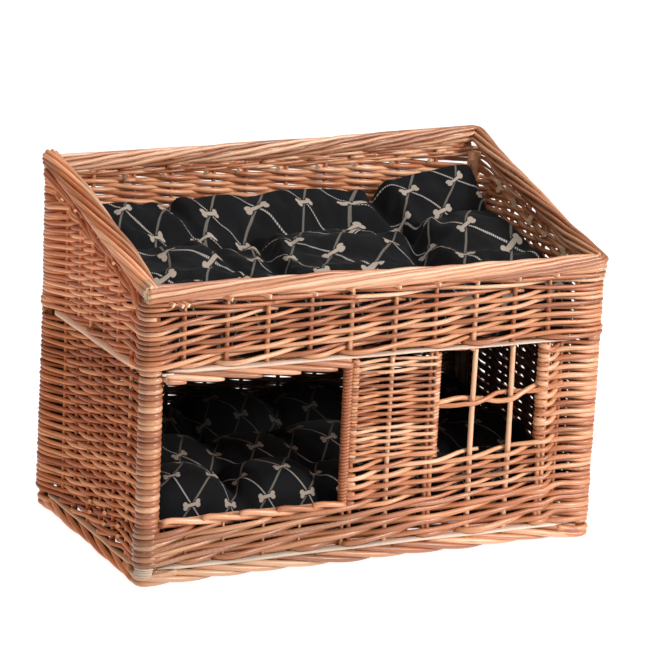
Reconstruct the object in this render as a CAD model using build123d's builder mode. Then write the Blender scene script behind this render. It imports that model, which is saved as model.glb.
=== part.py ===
"""Two-storey willow pet basket: a den with a doorway and a barred window below,
an open bed with a raised back above, and one loose padded cushion on each level.

Frame: X runs along the length, -Y is the front with the doorway, +Z is up.
The origin is at the centre of the footprint, on the resting plane. Millimetres.
"""
from build123d import *
import math
import os

os.makedirs("parts", exist_ok=True)

# ---------------------------------------------------------------- dimensions
HALF_L = 298.5          # outer faces of the end walls
HALF_W = 168.0          # outer faces of the front and back walls
WALL_T = 14.0           # woven wall: one stake and a weaver on each side of it
BODY_Z0 = 23.5          # the weaving starts on the base frame
SHELF_Z0, SHELF_Z1 = 252.5, 257.5   # white stick frame between the two levels
FRONT_RIM_Z0, FRONT_RIM_Z1 = 334.0, 357.0
BACK_RIM_Z0, BACK_RIM_Z1 = 424.5, 447.5
RIM_OUT_X, RIM_OUT_Y = 301.0, 170.5  # outermost line of the rim border
RIM_D = 22.5            # depth of the rim border
FOOT_H = 18.0           # height of the plaited foot border
FOOT_OUT_X, FOOT_OUT_Y = 300.0, 169.0
FOOT_D = 23.0

POST_R = 9.0            # bare corner post
WRAP_R = 14.5           # corner post with the weavers turned round it
POST_X, POST_Y = HALF_L - WRAP_R, HALF_W - WRAP_R
STAKE_R = 3.0
BAR_R = 3.2             # window bars
JAMB_R = 3.0            # sticks of the door and window posts

MID_Y = HALF_W - WALL_T / 2          # stake line of the front and back walls
MID_X = HALF_L - WALL_T / 2          # stake line of the end walls
IN_X, IN_Y = HALF_L - WALL_T, HALF_W - WALL_T

# stake positions along the walls
FRONT_STAKES = [-247.0, -196.0, -145.0, -91.0, -38.0, 17.0, 73.0, 124.0, 177.0, 227.0]
BACK_STAKES = [-235.0, -185.0, -132.0, -79.0, -30.0, 22.0, 75.0, 128.0, 181.0, 233.0]
END_STAKES = [96.0, 54.0, 13.0, -29.0, -71.0, -114.0]

# doorway and window in the front wall
DOOR_X1 = -46.0
SILL_Z0, SILL_Z1 = 69.0, 79.0
HEAD_Z0 = 242.0
PIER_X0, PIER_X1 = -46.0, 81.0
DOOR_POST = [-41.4, -30.2]           # two sticks, each wrapped
PIER_STAKE = 17.5
WIN_POST_L = [69.0, 75.6]            # two sticks side by side
WIN_POST_R = 226.0
WIN_X0, WIN_X1 = 81.0, 218.5
WIN_Z0 = 124.0
WIN_BARS = [128.5, 180.0]
CROSS_Z0, CROSS_Z1 = 186.0, 197.5    # the cross bar rises to the right
CROSS_R = 2.6
RIGHT_STAKE = 247.0
SILL_STAKES = [-240.0, -191.0, -142.0, -93.0]

# woven floors
BASE_Z0, SHELF_MAT_Z0, MAT_T = FOOT_H, 247.0, 9.0
MAT_STICKS = [-240.0, -180.0, -120.0, -60.0, 0.0, 60.0, 120.0, 180.0, 240.0]

# slope of the end walls' top, from the low front to the high back
SIDE_Y0, SIDE_Z0 = -158.0, 347.5
SIDE_Y1, SIDE_Z1 = 158.0, 434.0
SLOPE = math.atan2(SIDE_Z1 - SIDE_Z0, SIDE_Y1 - SIDE_Y0)
SIDE_H = 21.0           # thickness of the end rims, square to the slope
SLOPE_LEN = math.hypot(SIDE_Z1 - SIDE_Z0, SIDE_Y1 - SIDE_Y0)

# the plane of the end rims' underside; its normal points up
UNDER = Plane(
    origin=(0, SIDE_Y0 + SIDE_H / 2 * math.sin(SLOPE), SIDE_Z0 - SIDE_H / 2 * math.cos(SLOPE)),
    x_dir=(1, 0, 0),
    z_dir=(0, -math.sin(SLOPE), math.cos(SLOPE)),
)
CORNERS = [(sx * POST_X, sy * POST_Y) for sx in (-1, 1) for sy in (-1, 1)]

written = []


def keep(context, label):
    """Label one finished piece and write it."""
    context.part.label = label
    export_step(context.part, "parts/" + label + ".step")
    written.append((label, context.part))


# ---------------------------------------------------------------- foot border
# Thick rods plaited along the bottom edge; the piece rests on its flat underside.
for name, sy in (("foot_border_front", -1), ("foot_border_back", 1)):
    with BuildPart() as foot_long:
        with BuildSketch(Plane.YZ.offset(-FOOT_OUT_X)):
            with Locations((sy * (FOOT_OUT_Y - FOOT_D / 2), FOOT_H / 2)):
                RectangleRounded(FOOT_D, FOOT_H, 5)
        extrude(amount=2 * FOOT_OUT_X)
        fillet(foot_long.edges().filter_by(Axis.Z), radius=4)
    keep(foot_long, name)

for name, sx in (("foot_border_left", -1), ("foot_border_right", 1)):
    with BuildPart() as foot_short:
        with BuildSketch(Plane.XZ.offset(-(FOOT_OUT_Y - FOOT_D))):
            with Locations((sx * (FOOT_OUT_X - FOOT_D / 2), FOOT_H / 2)):
                RectangleRounded(FOOT_D, FOOT_H, 5)
        extrude(amount=2 * (FOOT_OUT_Y - FOOT_D))
    keep(foot_short, name)

# ---------------------------------------------------------------- base frame
# Peeled white sticks that show as a pale line between the foot and the weaving.
with BuildPart() as base_frame_front:
    with BuildSketch(Plane.XY.offset(FOOT_H)):
        with Locations((0, -(HALF_W - 5.0))):
            Rectangle(2 * (POST_X - WRAP_R) - 1, 11)
    extrude(amount=BODY_Z0 - FOOT_H)
    fillet(base_frame_front.edges().filter_by(Axis.X), radius=1.5)
keep(base_frame_front, "base_frame_front")

with BuildPart() as base_frame_back:
    with BuildSketch(Plane.XY.offset(FOOT_H)):
        with Locations((0, HALF_W - 5.0)):
            Rectangle(2 * (POST_X - WRAP_R) - 1, 11)
    extrude(amount=BODY_Z0 - FOOT_H)
    fillet(base_frame_back.edges().filter_by(Axis.X), radius=1.5)
keep(base_frame_back, "base_frame_back")

for name, sx in (("base_frame_left", -1), ("base_frame_right", 1)):
    with BuildPart() as base_frame_end:
        with BuildSketch(Plane.XY.offset(FOOT_H)):
            with Locations((sx * (HALF_L - 5.0), 0)):
                Rectangle(11, 2 * (POST_Y - WRAP_R) - 1)
        extrude(amount=BODY_Z0 - FOOT_H)
        fillet(base_frame_end.edges().filter_by(Axis.Y), radius=1.5)
    keep(base_frame_end, name)

# ---------------------------------------------------------------- shelf frame
for name, sy in (("shelf_frame_front", -1), ("shelf_frame_back", 1)):
    with BuildPart() as shelf_frame_long:
        with BuildSketch(Plane.XY.offset(SHELF_Z0)):
            with Locations((0, sy * (HALF_W - 5.5))):
                Rectangle(2 * (POST_X - WRAP_R) - 1, 12)
        extrude(amount=SHELF_Z1 - SHELF_Z0)
        fillet(shelf_frame_long.edges().filter_by(Axis.X), radius=1.5)
    keep(shelf_frame_long, name)

for name, sx in (("shelf_frame_left", -1), ("shelf_frame_right", 1)):
    with BuildPart() as shelf_frame_end:
        with BuildSketch(Plane.XY.offset(SHELF_Z0 - 1.5)):
            with Locations((sx * (HALF_L - 5.5), 0)):
                Rectangle(12, 2 * (POST_Y - WRAP_R) - 1)
        extrude(amount=SHELF_Z1 - SHELF_Z0 + 3.0)
        fillet(shelf_frame_end.edges().filter_by(Axis.Y), radius=2)
    keep(shelf_frame_end, name)

# ---------------------------------------------------------------- corner posts
for name, sx, sy in (
    ("corner_post_front_left", -1, -1),
    ("corner_post_front_right", 1, -1),
    ("corner_post_back_left", -1, 1),
    ("corner_post_back_right", 1, 1),
):
    top = FRONT_RIM_Z0 if sy < 0 else BACK_RIM_Z0
    with BuildPart() as corner_post:
        with BuildSketch(Plane.XY.offset(FOOT_H)):
            with Locations((sx * POST_X, sy * POST_Y)):
                Circle(POST_R)
        extrude(amount=top - FOOT_H)
        split(bisect_by=UNDER, keep=Keep.BOTTOM)
    keep(corner_post, name)

    with BuildPart() as corner_wrap:
        with BuildSketch(Plane.XY.offset(FOOT_H)):
            with Locations((sx * POST_X, sy * POST_Y)):
                Circle(WRAP_R)
                Circle(POST_R, mode=Mode.SUBTRACT)
        extrude(amount=top - FOOT_H)
        split(bisect_by=UNDER, keep=Keep.BOTTOM)
    keep(corner_wrap, name.replace("corner_post", "corner_wrap"))

# ---------------------------------------------------------------- lower front wall
BASE_VERTICALS = (
    [(x, STAKE_R) for x in SILL_STAKES]
    + [(x, JAMB_R) for x in DOOR_POST]
    + [(PIER_STAKE, STAKE_R)]
    + [(x, JAMB_R) for x in WIN_POST_L]
    + [(x, BAR_R) for x in WIN_BARS]
    + [(WIN_POST_R, JAMB_R), (RIGHT_STAKE, STAKE_R)]
)

# the low band of weaving that runs the whole length under the doorway and window
with BuildPart() as front_base_weave:
    with BuildSketch(Plane.XY.offset(BODY_Z0)):
        with Locations((0, -MID_Y)):
            Rectangle(2 * (POST_X - 9.0), WALL_T)
        with Locations(*[(x, y) for x, y in CORNERS if y < 0]):
            Circle(WRAP_R, mode=Mode.SUBTRACT)
        for x, r in BASE_VERTICALS:
            with Locations((x, -MID_Y)):
                Circle(r, mode=Mode.SUBTRACT)
    extrude(amount=SILL_Z0 - BODY_Z0)
keep(front_base_weave, "front_base_weave")

# overlapping thick rods that finish the sill of the doorway
with BuildPart() as door_sill_border:
    with BuildSketch(Plane.XY.offset(SILL_Z0)):
        with Locations(((DOOR_X1 - POST_X) / 2, -(HALF_W - 6.5))):
            Rectangle(DOOR_X1 + POST_X, 15)
        with Locations((-POST_X, -POST_Y)):
            Circle(WRAP_R, mode=Mode.SUBTRACT)
    extrude(amount=SILL_Z1 - SILL_Z0)
    fillet(door_sill_border.edges().filter_by(Axis.X), radius=3)
keep(door_sill_border, "door_sill_border")

# the same border along the head of the doorway, under the shelf frame
with BuildPart() as door_head_border:
    with BuildSketch(Plane.XY.offset(HEAD_Z0)):
        with Locations(((DOOR_X1 - POST_X) / 2, -(HALF_W - 6.5))):
            Rectangle(DOOR_X1 + POST_X, 15)
        with Locations((-POST_X, -POST_Y)):
            Circle(WRAP_R, mode=Mode.SUBTRACT)
    extrude(amount=SHELF_Z0 - HEAD_Z0)
    fillet(door_head_border.edges().filter_by(Axis.X), radius=3)
keep(door_head_border, "door_head_border")

# the woven pier between the doorway and the window
with BuildPart() as front_pier_weave:
    with BuildSketch(Plane.XY.offset(SILL_Z0)):
        with Locations(((PIER_X0 + PIER_X1) / 2, -MID_Y)):
            Rectangle(PIER_X1 - PIER_X0, WALL_T)
        for x, r in [(x, JAMB_R) for x in DOOR_POST + WIN_POST_L] + [(PIER_STAKE, STAKE_R)]:
            with Locations((x, -MID_Y)):
                Circle(r, mode=Mode.SUBTRACT)
    extrude(amount=SHELF_Z0 - SILL_Z0)
keep(front_pier_weave, "front_pier_weave")

# the weaving below the window
with BuildPart() as window_sill_weave:
    with BuildSketch(Plane.XY.offset(SILL_Z0)):
        with Locations(((WIN_X0 + WIN_X1) / 2, -MID_Y)):
            Rectangle(WIN_X1 - WIN_X0, WALL_T)
        for x in WIN_BARS:
            with Locations((x, -MID_Y)):
                Circle(BAR_R, mode=Mode.SUBTRACT)
    extrude(amount=WIN_Z0 - SILL_Z0)
keep(window_sill_weave, "window_sill_weave")

# the woven pier between the window and the right corner
with BuildPart() as right_pier_weave:
    with BuildSketch(Plane.XY.offset(SILL_Z0)):
        with Locations(((WIN_X1 + POST_X - 9.0) / 2, -MID_Y)):
            Rectangle(POST_X - 9.0 - WIN_X1, WALL_T)
        with Locations((POST_X, -POST_Y)):
            Circle(WRAP_R, mode=Mode.SUBTRACT)
        for x, r in ((WIN_POST_R, JAMB_R), (RIGHT_STAKE, STAKE_R)):
            with Locations((x, -MID_Y)):
                Circle(r, mode=Mode.SUBTRACT)
    extrude(amount=SHELF_Z0 - SILL_Z0)
keep(right_pier_weave, "right_pier_weave")

# uprights of the lower front wall
with BuildPart() as door_sill_stakes:
    with BuildSketch(Plane.XY.offset(FOOT_H)):
        for x in SILL_STAKES:
            with Locations((x, -MID_Y)):
                Circle(STAKE_R)
    extrude(amount=SILL_Z0 - FOOT_H)
    # the sticks start on top of the base frame sticks' inner edge
    with BuildSketch(Plane.XY.offset(FOOT_H)):
        Rectangle(700, 400)
    extrude(amount=BODY_Z0 - FOOT_H, mode=Mode.SUBTRACT)
keep(door_sill_stakes, "door_sill_stakes")

with BuildPart() as door_post:
    with BuildSketch(Plane.XY.offset(BODY_Z0)):
        for x in DOOR_POST:
            with Locations((x, -MID_Y)):
                Circle(JAMB_R)
    extrude(amount=SHELF_Z0 - BODY_Z0)
keep(door_post, "door_post")

with BuildPart() as pier_stake:
    with BuildSketch(Plane.XY.offset(BODY_Z0)):
        with Locations((PIER_STAKE, -MID_Y)):
            Circle(STAKE_R)
    extrude(amount=SHELF_Z0 - BODY_Z0)
keep(pier_stake, "pier_stake")

with BuildPart() as window_post_left:
    with BuildSketch(Plane.XY.offset(BODY_Z0)):
        for x in WIN_POST_L:
            with Locations((x, -MID_Y)):
                Circle(JAMB_R)
    extrude(amount=SHELF_Z0 - BODY_Z0)
keep(window_post_left, "window_post_left")

with BuildPart() as window_post_right:
    with BuildSketch(Plane.XY.offset(BODY_Z0)):
        with Locations((WIN_POST_R, -MID_Y)):
            Circle(JAMB_R)
    extrude(amount=SHELF_Z0 - BODY_Z0)
keep(window_post_right, "window_post_right")

with BuildPart() as right_pier_stake:
    with BuildSketch(Plane.XY.offset(BODY_Z0)):
        with Locations((RIGHT_STAKE, -MID_Y)):
            Circle(STAKE_R)
    extrude(amount=SHELF_Z0 - BODY_Z0)
keep(right_pier_stake, "right_pier_stake")

for name, x in (("window_bar_left", WIN_BARS[0]), ("window_bar_right", WIN_BARS[1])):
    with BuildPart() as window_bar:
        with BuildSketch(Plane.XY.offset(BODY_Z0)):
            with Locations((x, -MID_Y)):
                Circle(BAR_R)
        extrude(amount=SHELF_Z0 - BODY_Z0)
    keep(window_bar, name)

# the cross bar: one rod in front of the bars and one behind them
CROSS_TILT = math.degrees(math.atan2(CROSS_Z1 - CROSS_Z0, WIN_X1 - WIN_X0))
with BuildPart() as window_crossbar:
    for dy in (-1, 1):
        with BuildSketch(
            Plane(
                origin=(WIN_X0 - 6, -MID_Y + dy * (BAR_R + CROSS_R), CROSS_Z0 - 6 * math.tan(math.radians(CROSS_TILT))),
                x_dir=(0, 1, 0),
                z_dir=(math.cos(math.radians(CROSS_TILT)), 0, math.sin(math.radians(CROSS_TILT))),
            )
        ):
            Circle(CROSS_R)
        extrude(amount=(WIN_X1 - WIN_X0 + 12) / math.cos(math.radians(CROSS_TILT)))
    with BuildSketch(Plane.XY.offset(150)):
        with Locations((WIN_X0 - 20, -MID_Y), (WIN_X1 + 20, -MID_Y)):
            Rectangle(40, 60)
    extrude(amount=100, mode=Mode.SUBTRACT)
keep(window_crossbar, "window_crossbar")

# ---------------------------------------------------------------- other lower walls
with BuildPart() as lower_back_weave:
    with BuildSketch(Plane.XY.offset(BODY_Z0)):
        with Locations((0, MID_Y)):
            Rectangle(2 * (POST_X - 9.0), WALL_T)
        with Locations(*[(x, y) for x, y in CORNERS if y > 0]):
            Circle(WRAP_R, mode=Mode.SUBTRACT)
        with Locations(*[(x, MID_Y) for x in BACK_STAKES]):
            Circle(STAKE_R, mode=Mode.SUBTRACT)
    extrude(amount=SHELF_Z0 - BODY_Z0)
keep(lower_back_weave, "lower_back_weave")

with BuildPart() as lower_back_stakes:
    with BuildSketch(Plane.XY.offset(BODY_Z0)):
        with Locations(*[(x, MID_Y) for x in BACK_STAKES]):
            Circle(STAKE_R)
    extrude(amount=SHELF_Z0 - BODY_Z0)
keep(lower_back_stakes, "lower_back_stakes")

for side, sx in (("left", -1), ("right", 1)):
    with BuildPart() as lower_end_weave:
        with BuildSketch(Plane.XY.offset(BODY_Z0)):
            with Locations((sx * MID_X, 0)):
                Rectangle(WALL_T, 2 * (POST_Y - 9.0))
            with Locations(*[(x, y) for x, y in CORNERS if x * sx > 0]):
                Circle(WRAP_R, mode=Mode.SUBTRACT)
            with Locations(*[(sx * MID_X, y) for y in END_STAKES]):
                Circle(STAKE_R, mode=Mode.SUBTRACT)
        extrude(amount=SHELF_Z0 - 1.5 - BODY_Z0)
    keep(lower_end_weave, "lower_" + side + "_weave")

    with BuildPart() as lower_end_stakes:
        with BuildSketch(Plane.XY.offset(BODY_Z0)):
            with Locations(*[(sx * MID_X, y) for y in END_STAKES]):
                Circle(STAKE_R)
        extrude(amount=SHELF_Z0 - 1.5 - BODY_Z0)
    keep(lower_end_stakes, "lower_" + side + "_stakes")

# ---------------------------------------------------------------- woven floors
for name, z0 in (("base_mat", BASE_Z0), ("shelf_mat", SHELF_MAT_Z0)):
    with BuildPart() as mat_weave:
        with BuildSketch(Plane.XY.offset(z0)):
            Rectangle(2 * IN_X - 2, 2 * IN_Y - 3)
            with Locations(*CORNERS):
                Circle(WRAP_R, mode=Mode.SUBTRACT)
        extrude(amount=MAT_T)
        with BuildSketch(Plane.XZ):
            with Locations(*[(x, z0 + MAT_T / 2) for x in MAT_STICKS]):
                Circle(STAKE_R)
        extrude(amount=IN_Y, both=True, mode=Mode.SUBTRACT)
    keep(mat_weave, name + "_weave")

    with BuildPart() as mat_sticks:
        with BuildSketch(Plane.XZ):
            with Locations(*[(x, z0 + MAT_T / 2) for x in MAT_STICKS]):
                Circle(STAKE_R)
        extrude(amount=IN_Y, both=True)
    keep(mat_sticks, name + "_sticks")

# ---------------------------------------------------------------- upper walls
with BuildPart() as upper_front_weave:
    with BuildSketch(Plane.XY.offset(SHELF_Z1)):
        with Locations((0, -MID_Y)):
            Rectangle(2 * (POST_X - 9.0), WALL_T)
        with Locations(*[(x, y) for x, y in CORNERS if y < 0]):
            Circle(WRAP_R, mode=Mode.SUBTRACT)
        with Locations(*[(x, -MID_Y) for x in FRONT_STAKES]):
            Circle(STAKE_R, mode=Mode.SUBTRACT)
    extrude(amount=FRONT_RIM_Z0 - SHELF_Z1)
keep(upper_front_weave, "upper_front_weave")

with BuildPart() as upper_front_stakes:
    with BuildSketch(Plane.XY.offset(SHELF_Z1)):
        with Locations(*[(x, -MID_Y) for x in FRONT_STAKES]):
            Circle(STAKE_R)
    extrude(amount=FRONT_RIM_Z0 - SHELF_Z1)
keep(upper_front_stakes, "upper_front_stakes")

with BuildPart() as upper_back_weave:
    with BuildSketch(Plane.XY.offset(SHELF_Z1)):
        with Locations((0, MID_Y)):
            Rectangle(2 * (POST_X - 9.0), WALL_T)
        with Locations(*[(x, y) for x, y in CORNERS if y > 0]):
            Circle(WRAP_R, mode=Mode.SUBTRACT)
        with Locations(*[(x, MID_Y) for x in BACK_STAKES]):
            Circle(STAKE_R, mode=Mode.SUBTRACT)
    extrude(amount=BACK_RIM_Z0 - SHELF_Z1)
keep(upper_back_weave, "upper_back_weave")

with BuildPart() as upper_back_stakes:
    with BuildSketch(Plane.XY.offset(SHELF_Z1)):
        with Locations(*[(x, MID_Y) for x in BACK_STAKES]):
            Circle(STAKE_R)
    extrude(amount=BACK_RIM_Z0 - SHELF_Z1)
keep(upper_back_stakes, "upper_back_stakes")

for side, sx in (("left", -1), ("right", 1)):
    with BuildPart() as upper_end_weave:
        with BuildSketch(Plane.XY.offset(SHELF_Z1 + 1.5)):
            with Locations((sx * MID_X, 0)):
                Rectangle(WALL_T, 2 * (POST_Y - 9.0))
            with Locations(*[(x, y) for x, y in CORNERS if x * sx > 0]):
                Circle(WRAP_R, mode=Mode.SUBTRACT)
            with Locations(*[(sx * MID_X, y) for y in END_STAKES]):
                Circle(STAKE_R, mode=Mode.SUBTRACT)
        extrude(amount=200)
        split(bisect_by=UNDER, keep=Keep.BOTTOM)
    keep(upper_end_weave, "upper_" + side + "_weave")

    with BuildPart() as upper_end_stakes:
        with BuildSketch(Plane.XY.offset(SHELF_Z1 + 1.5)):
            with Locations(*[(sx * MID_X, y) for y in END_STAKES]):
                Circle(STAKE_R)
        extrude(amount=200)
        split(bisect_by=UNDER, keep=Keep.BOTTOM)
    keep(upper_end_stakes, "upper_" + side + "_stakes")

# ---------------------------------------------------------------- rim border
with BuildPart() as rim_front:
    with BuildSketch(Plane.YZ.offset(-RIM_OUT_X)):
        with Locations((-(RIM_OUT_Y - RIM_D / 2), (FRONT_RIM_Z0 + FRONT_RIM_Z1) / 2)):
            RectangleRounded(RIM_D, FRONT_RIM_Z1 - FRONT_RIM_Z0, 8)
    extrude(amount=2 * RIM_OUT_X)
keep(rim_front, "rim_front")

with BuildPart() as rim_back:
    with BuildSketch(Plane.YZ.offset(-RIM_OUT_X)):
        with Locations((RIM_OUT_Y - RIM_D / 2, (BACK_RIM_Z0 + BACK_RIM_Z1) / 2)):
            RectangleRounded(RIM_D, BACK_RIM_Z1 - BACK_RIM_Z0, 8)
    extrude(amount=2 * RIM_OUT_X)
keep(rim_back, "rim_back")

for name, sx in (("rim_left", -1), ("rim_right", 1)):
    with BuildPart() as rim_end:
        with BuildSketch(
            Plane(
                origin=(sx * (RIM_OUT_X - RIM_D / 2), SIDE_Y0, SIDE_Z0),
                x_dir=(1, 0, 0),
                z_dir=(0, math.cos(SLOPE), math.sin(SLOPE)),
            )
        ):
            RectangleRounded(RIM_D, SIDE_H, 8)
        extrude(amount=SLOPE_LEN)
        add(rim_front.part, mode=Mode.SUBTRACT)
        add(rim_back.part, mode=Mode.SUBTRACT)
    keep(rim_end, name)

# ---------------------------------------------------------------- cushions
# Loose padded cushions; each fills its level and rises towards the back.
CUSH_X, CUSH_Y, CUSH_R = 277.5, 146.5, 42.0
LOW_Z0, LOW_ZF, LOW_ZB = BASE_Z0 + MAT_T + 0.3, 92.0, 138.0
UP_Z0, UP_ZF, UP_ZB = SHELF_MAT_Z0 + MAT_T + 0.3, 338.0, 384.0

for name, z0, zf, zb in (
    ("lower_cushion", LOW_Z0, LOW_ZF, LOW_ZB),
    ("upper_cushion", UP_Z0, UP_ZF, UP_ZB),
):
    with BuildPart() as cushion:
        with BuildSketch(Plane.XY.offset(z0)):
            RectangleRounded(2 * CUSH_X, 2 * CUSH_Y, CUSH_R)
        extrude(amount=zb - z0 + 30)
        top = Plane(
            origin=(0, 0, (zf + zb) / 2),
            x_dir=(1, 0, 0),
            z_dir=(0, -(zb - zf) / (2 * CUSH_Y), 1),
        )
        split(bisect_by=top, keep=Keep.BOTTOM)
        fillet(cushion.faces().sort_by(Axis.Z)[-1].edges(), radius=26)
        fillet(cushion.faces().sort_by(Axis.Z)[0].edges(), radius=10)
    keep(cushion, name)

whole = Compound(children=[p for _, p in written])
box = whole.bounding_box()
print("nodes", len(written))
print("box", [round(v, 2) for v in (box.min.X, box.min.Y, box.min.Z, box.max.X, box.max.Y, box.max.Z)])
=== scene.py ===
import bpy
import math
import random
import numpy as np
from mathutils import Vector, Matrix


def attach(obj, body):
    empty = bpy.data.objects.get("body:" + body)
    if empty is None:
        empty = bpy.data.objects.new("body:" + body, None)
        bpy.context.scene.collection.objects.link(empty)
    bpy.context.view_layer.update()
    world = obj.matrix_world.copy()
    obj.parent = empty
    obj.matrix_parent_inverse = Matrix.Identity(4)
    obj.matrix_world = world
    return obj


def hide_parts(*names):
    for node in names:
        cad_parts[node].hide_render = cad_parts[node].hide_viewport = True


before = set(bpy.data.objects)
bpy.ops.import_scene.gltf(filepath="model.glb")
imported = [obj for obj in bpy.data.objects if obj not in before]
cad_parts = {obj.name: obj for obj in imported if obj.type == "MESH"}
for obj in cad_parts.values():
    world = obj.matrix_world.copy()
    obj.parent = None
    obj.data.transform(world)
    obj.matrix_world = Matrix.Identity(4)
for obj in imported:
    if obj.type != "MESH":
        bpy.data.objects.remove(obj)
rnd = random.Random(4127)
rng = np.random.default_rng(90210)
TAU = 2 * math.pi

# ------------------------------------------------------------------ camera
# The photograph's view of the object, found by fitting its corners.
CAM_POS = Vector((-1.48865, -3.03307, 1.13100))
PITCH, ROLL, YAW = (math.radians(a) for a in (-14.58134, -2.61550, -26.19507))
rot = Matrix.Rotation(YAW, 3, "Z") @ Matrix.Rotation(PITCH, 3, "X") @ Matrix.Rotation(ROLL, 3, "Y")
right, ahead, up = rot.col[0], rot.col[1], rot.col[2]
cam_data = bpy.data.cameras.new("camera")
cam_data.sensor_width = 36.0
cam_data.lens = 2869.338 / 645.0 * 36.0
cam_data.clip_end = 60
cam = bpy.data.objects.new("camera", cam_data)
bpy.context.scene.collection.objects.link(cam)
m = Matrix.Identity(4)
for i in range(3):
    m[i][0], m[i][1], m[i][2] = right[i], up[i], -ahead[i]
    m[i][3] = CAM_POS[i]
cam.matrix_world = m
bpy.context.scene.camera = cam
bpy.context.scene.view_settings.view_transform = "Standard"


# ------------------------------------------------------------------ rods
class Bag:
    """Rods gathered into one mesh. Positions are in millimetres until make()."""

    def __init__(self):
        self.v, self.q, self.t = [], [], []
        self.quv, self.tuv, self.qm, self.tm = [], [], [], []
        self.seed, self.n = [], 0

    def tube(self, pts, rad, sides=8, caps=(1, 1), seed=None, mat=0, cut=1, ref=None, u0=None, blunt=0.0):
        p = np.asarray(pts, float)
        n = len(p)
        if n < 2:
            return
        ra, rb = rad if isinstance(rad, tuple) else (rad, rad)
        ra = np.broadcast_to(np.asarray(ra, float), (n,)).copy()
        rb = np.broadcast_to(np.asarray(rb, float), (n,)).copy()
        if blunt:  # rounded ends, for tips that are not cut off square
            for end in (0, -1):
                if caps[0 if end == 0 else 1] == 2:
                    ra[end] *= blunt
                    rb[end] *= blunt
        t = np.gradient(p, axis=0)
        t /= np.linalg.norm(t, axis=1)[:, None] + 1e-12
        if ref is None:
            ref = (0, 0, 1) if np.abs(t[:, 2]).mean() < 0.75 else (0, 1, 0)
        a = np.cross(t, np.asarray(ref, float))
        a /= np.linalg.norm(a, axis=1)[:, None] + 1e-12
        b = np.cross(a, t)
        ph = np.arange(sides) / sides * TAU
        ring = (
            p[:, None, :]
            + ra[:, None, None] * np.cos(ph)[None, :, None] * a[:, None, :]
            + rb[:, None, None] * np.sin(ph)[None, :, None] * b[:, None, :]
        )
        base = self.n
        self.v.append(ring.reshape(-1, 3))
        seed = rnd.random() if seed is None else seed
        self.seed.append(np.full(n * sides, seed))
        self.n += n * sides
        i = np.arange(n - 1)[:, None]
        k = np.arange(sides)[None, :]
        k1 = (k + 1) % sides
        q = np.stack([base + i * sides + k, base + (i + 1) * sides + k, base + (i + 1) * sides + k1, base + i * sides + k1], -1)
        self.q.append(q.reshape(-1, 4))
        self.qm.append(np.full((n - 1) * sides, mat))
        step = np.linalg.norm(np.diff(p, axis=0), axis=1)
        u = (rnd.random() * 9 if u0 is None else u0) + np.concatenate([[0], np.cumsum(step)]) * 0.001
        ui0 = np.broadcast_to(u[:-1][:, None], (n - 1, sides))
        ui1 = np.broadcast_to(u[1:][:, None], (n - 1, sides))
        v0 = np.broadcast_to(k / sides, (n - 1, sides))
        v1 = v0 + 1.0 / sides
        uv = np.stack([np.stack([ui0, v0], -1), np.stack([ui1, v0], -1), np.stack([ui1, v1], -1), np.stack([ui0, v1], -1)], 2)
        self.quv.append(uv.reshape(-1, 2))
        for which in (0, 1):
            if not caps[which]:
                continue
            at = 0 if which == 0 else n - 1
            c = self.n
            bulge = t[at] * ra[at] * (0.45 if caps[which] == 2 else 0.0) * (-1 if which == 0 else 1)
            self.v.append((p[at] + bulge)[None, :])
            self.seed.append(np.array([seed]))
            self.n += 1
            kk = np.arange(sides)
            r0 = base + at * sides
            if which == 0:
                tri = np.stack([np.full(sides, c), r0 + kk, r0 + (kk + 1) % sides], -1)
            else:
                tri = np.stack([np.full(sides, c), r0 + (kk + 1) % sides, r0 + kk], -1)
            self.t.append(tri)
            self.tm.append(np.full(sides, cut if caps[which] == 1 else mat))
            ang = kk / sides * TAU
            ang1 = (kk + 1) / sides * TAU
            o = np.zeros((sides, 2))
            x0 = np.stack([np.cos(ang), np.sin(ang)], -1) * 0.003
            x1 = np.stack([np.cos(ang1), np.sin(ang1)], -1) * 0.003
            w = np.stack([o, x0, x1] if which == 0 else [o, x1, x0], 1) + np.array([u[at], 0.5])
            self.tuv.append(w.reshape(-1, 2))

    def make(self, name, mats, body, nodes=(), slot=None, smooth=True):
        v = np.concatenate(self.v) * 0.001
        q = np.concatenate(self.q) if self.q else np.zeros((0, 4), int)
        t = np.concatenate(self.t) if self.t else np.zeros((0, 3), int)
        me = bpy.data.meshes.new(name)
        me.vertices.add(len(v))
        me.vertices.foreach_set("co", v.astype(np.float32).ravel())
        me.loops.add(q.size + t.size)
        me.loops.foreach_set("vertex_index", np.concatenate([q.ravel(), t.ravel()]).astype(np.int32))
        me.polygons.add(len(q) + len(t))
        starts = np.concatenate([np.arange(len(q)) * 4, q.size + np.arange(len(t)) * 3])
        me.polygons.foreach_set("loop_start", starts.astype(np.int32))
        mi = np.concatenate((self.qm or [np.zeros(0, int)]) + (self.tm or [np.zeros(0, int)]))
        me.polygons.foreach_set("material_index", mi.astype(np.int32))
        me.update(calc_edges=True)
        me.validate(verbose=False)
        uv = me.uv_layers.new(name="rod")
        uv.data.foreach_set("uv", np.concatenate(self.quv + self.tuv).astype(np.float32).ravel())
        at = me.attributes.new("seed", "FLOAT", "POINT")
        at.data.foreach_set("value", np.concatenate(self.seed).astype(np.float32))
        if smooth:
            flags = np.concatenate([np.ones(len(q), bool), np.zeros(len(t), bool)])
            me.polygons.foreach_set("use_smooth", flags)
        for mt in mats:
            me.materials.append(mt)
        ob = bpy.data.objects.new(name, me)
        bpy.context.scene.collection.objects.link(ob)
        if body:
            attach(ob, body)
            if nodes:
                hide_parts(*nodes)
        return ob


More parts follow.
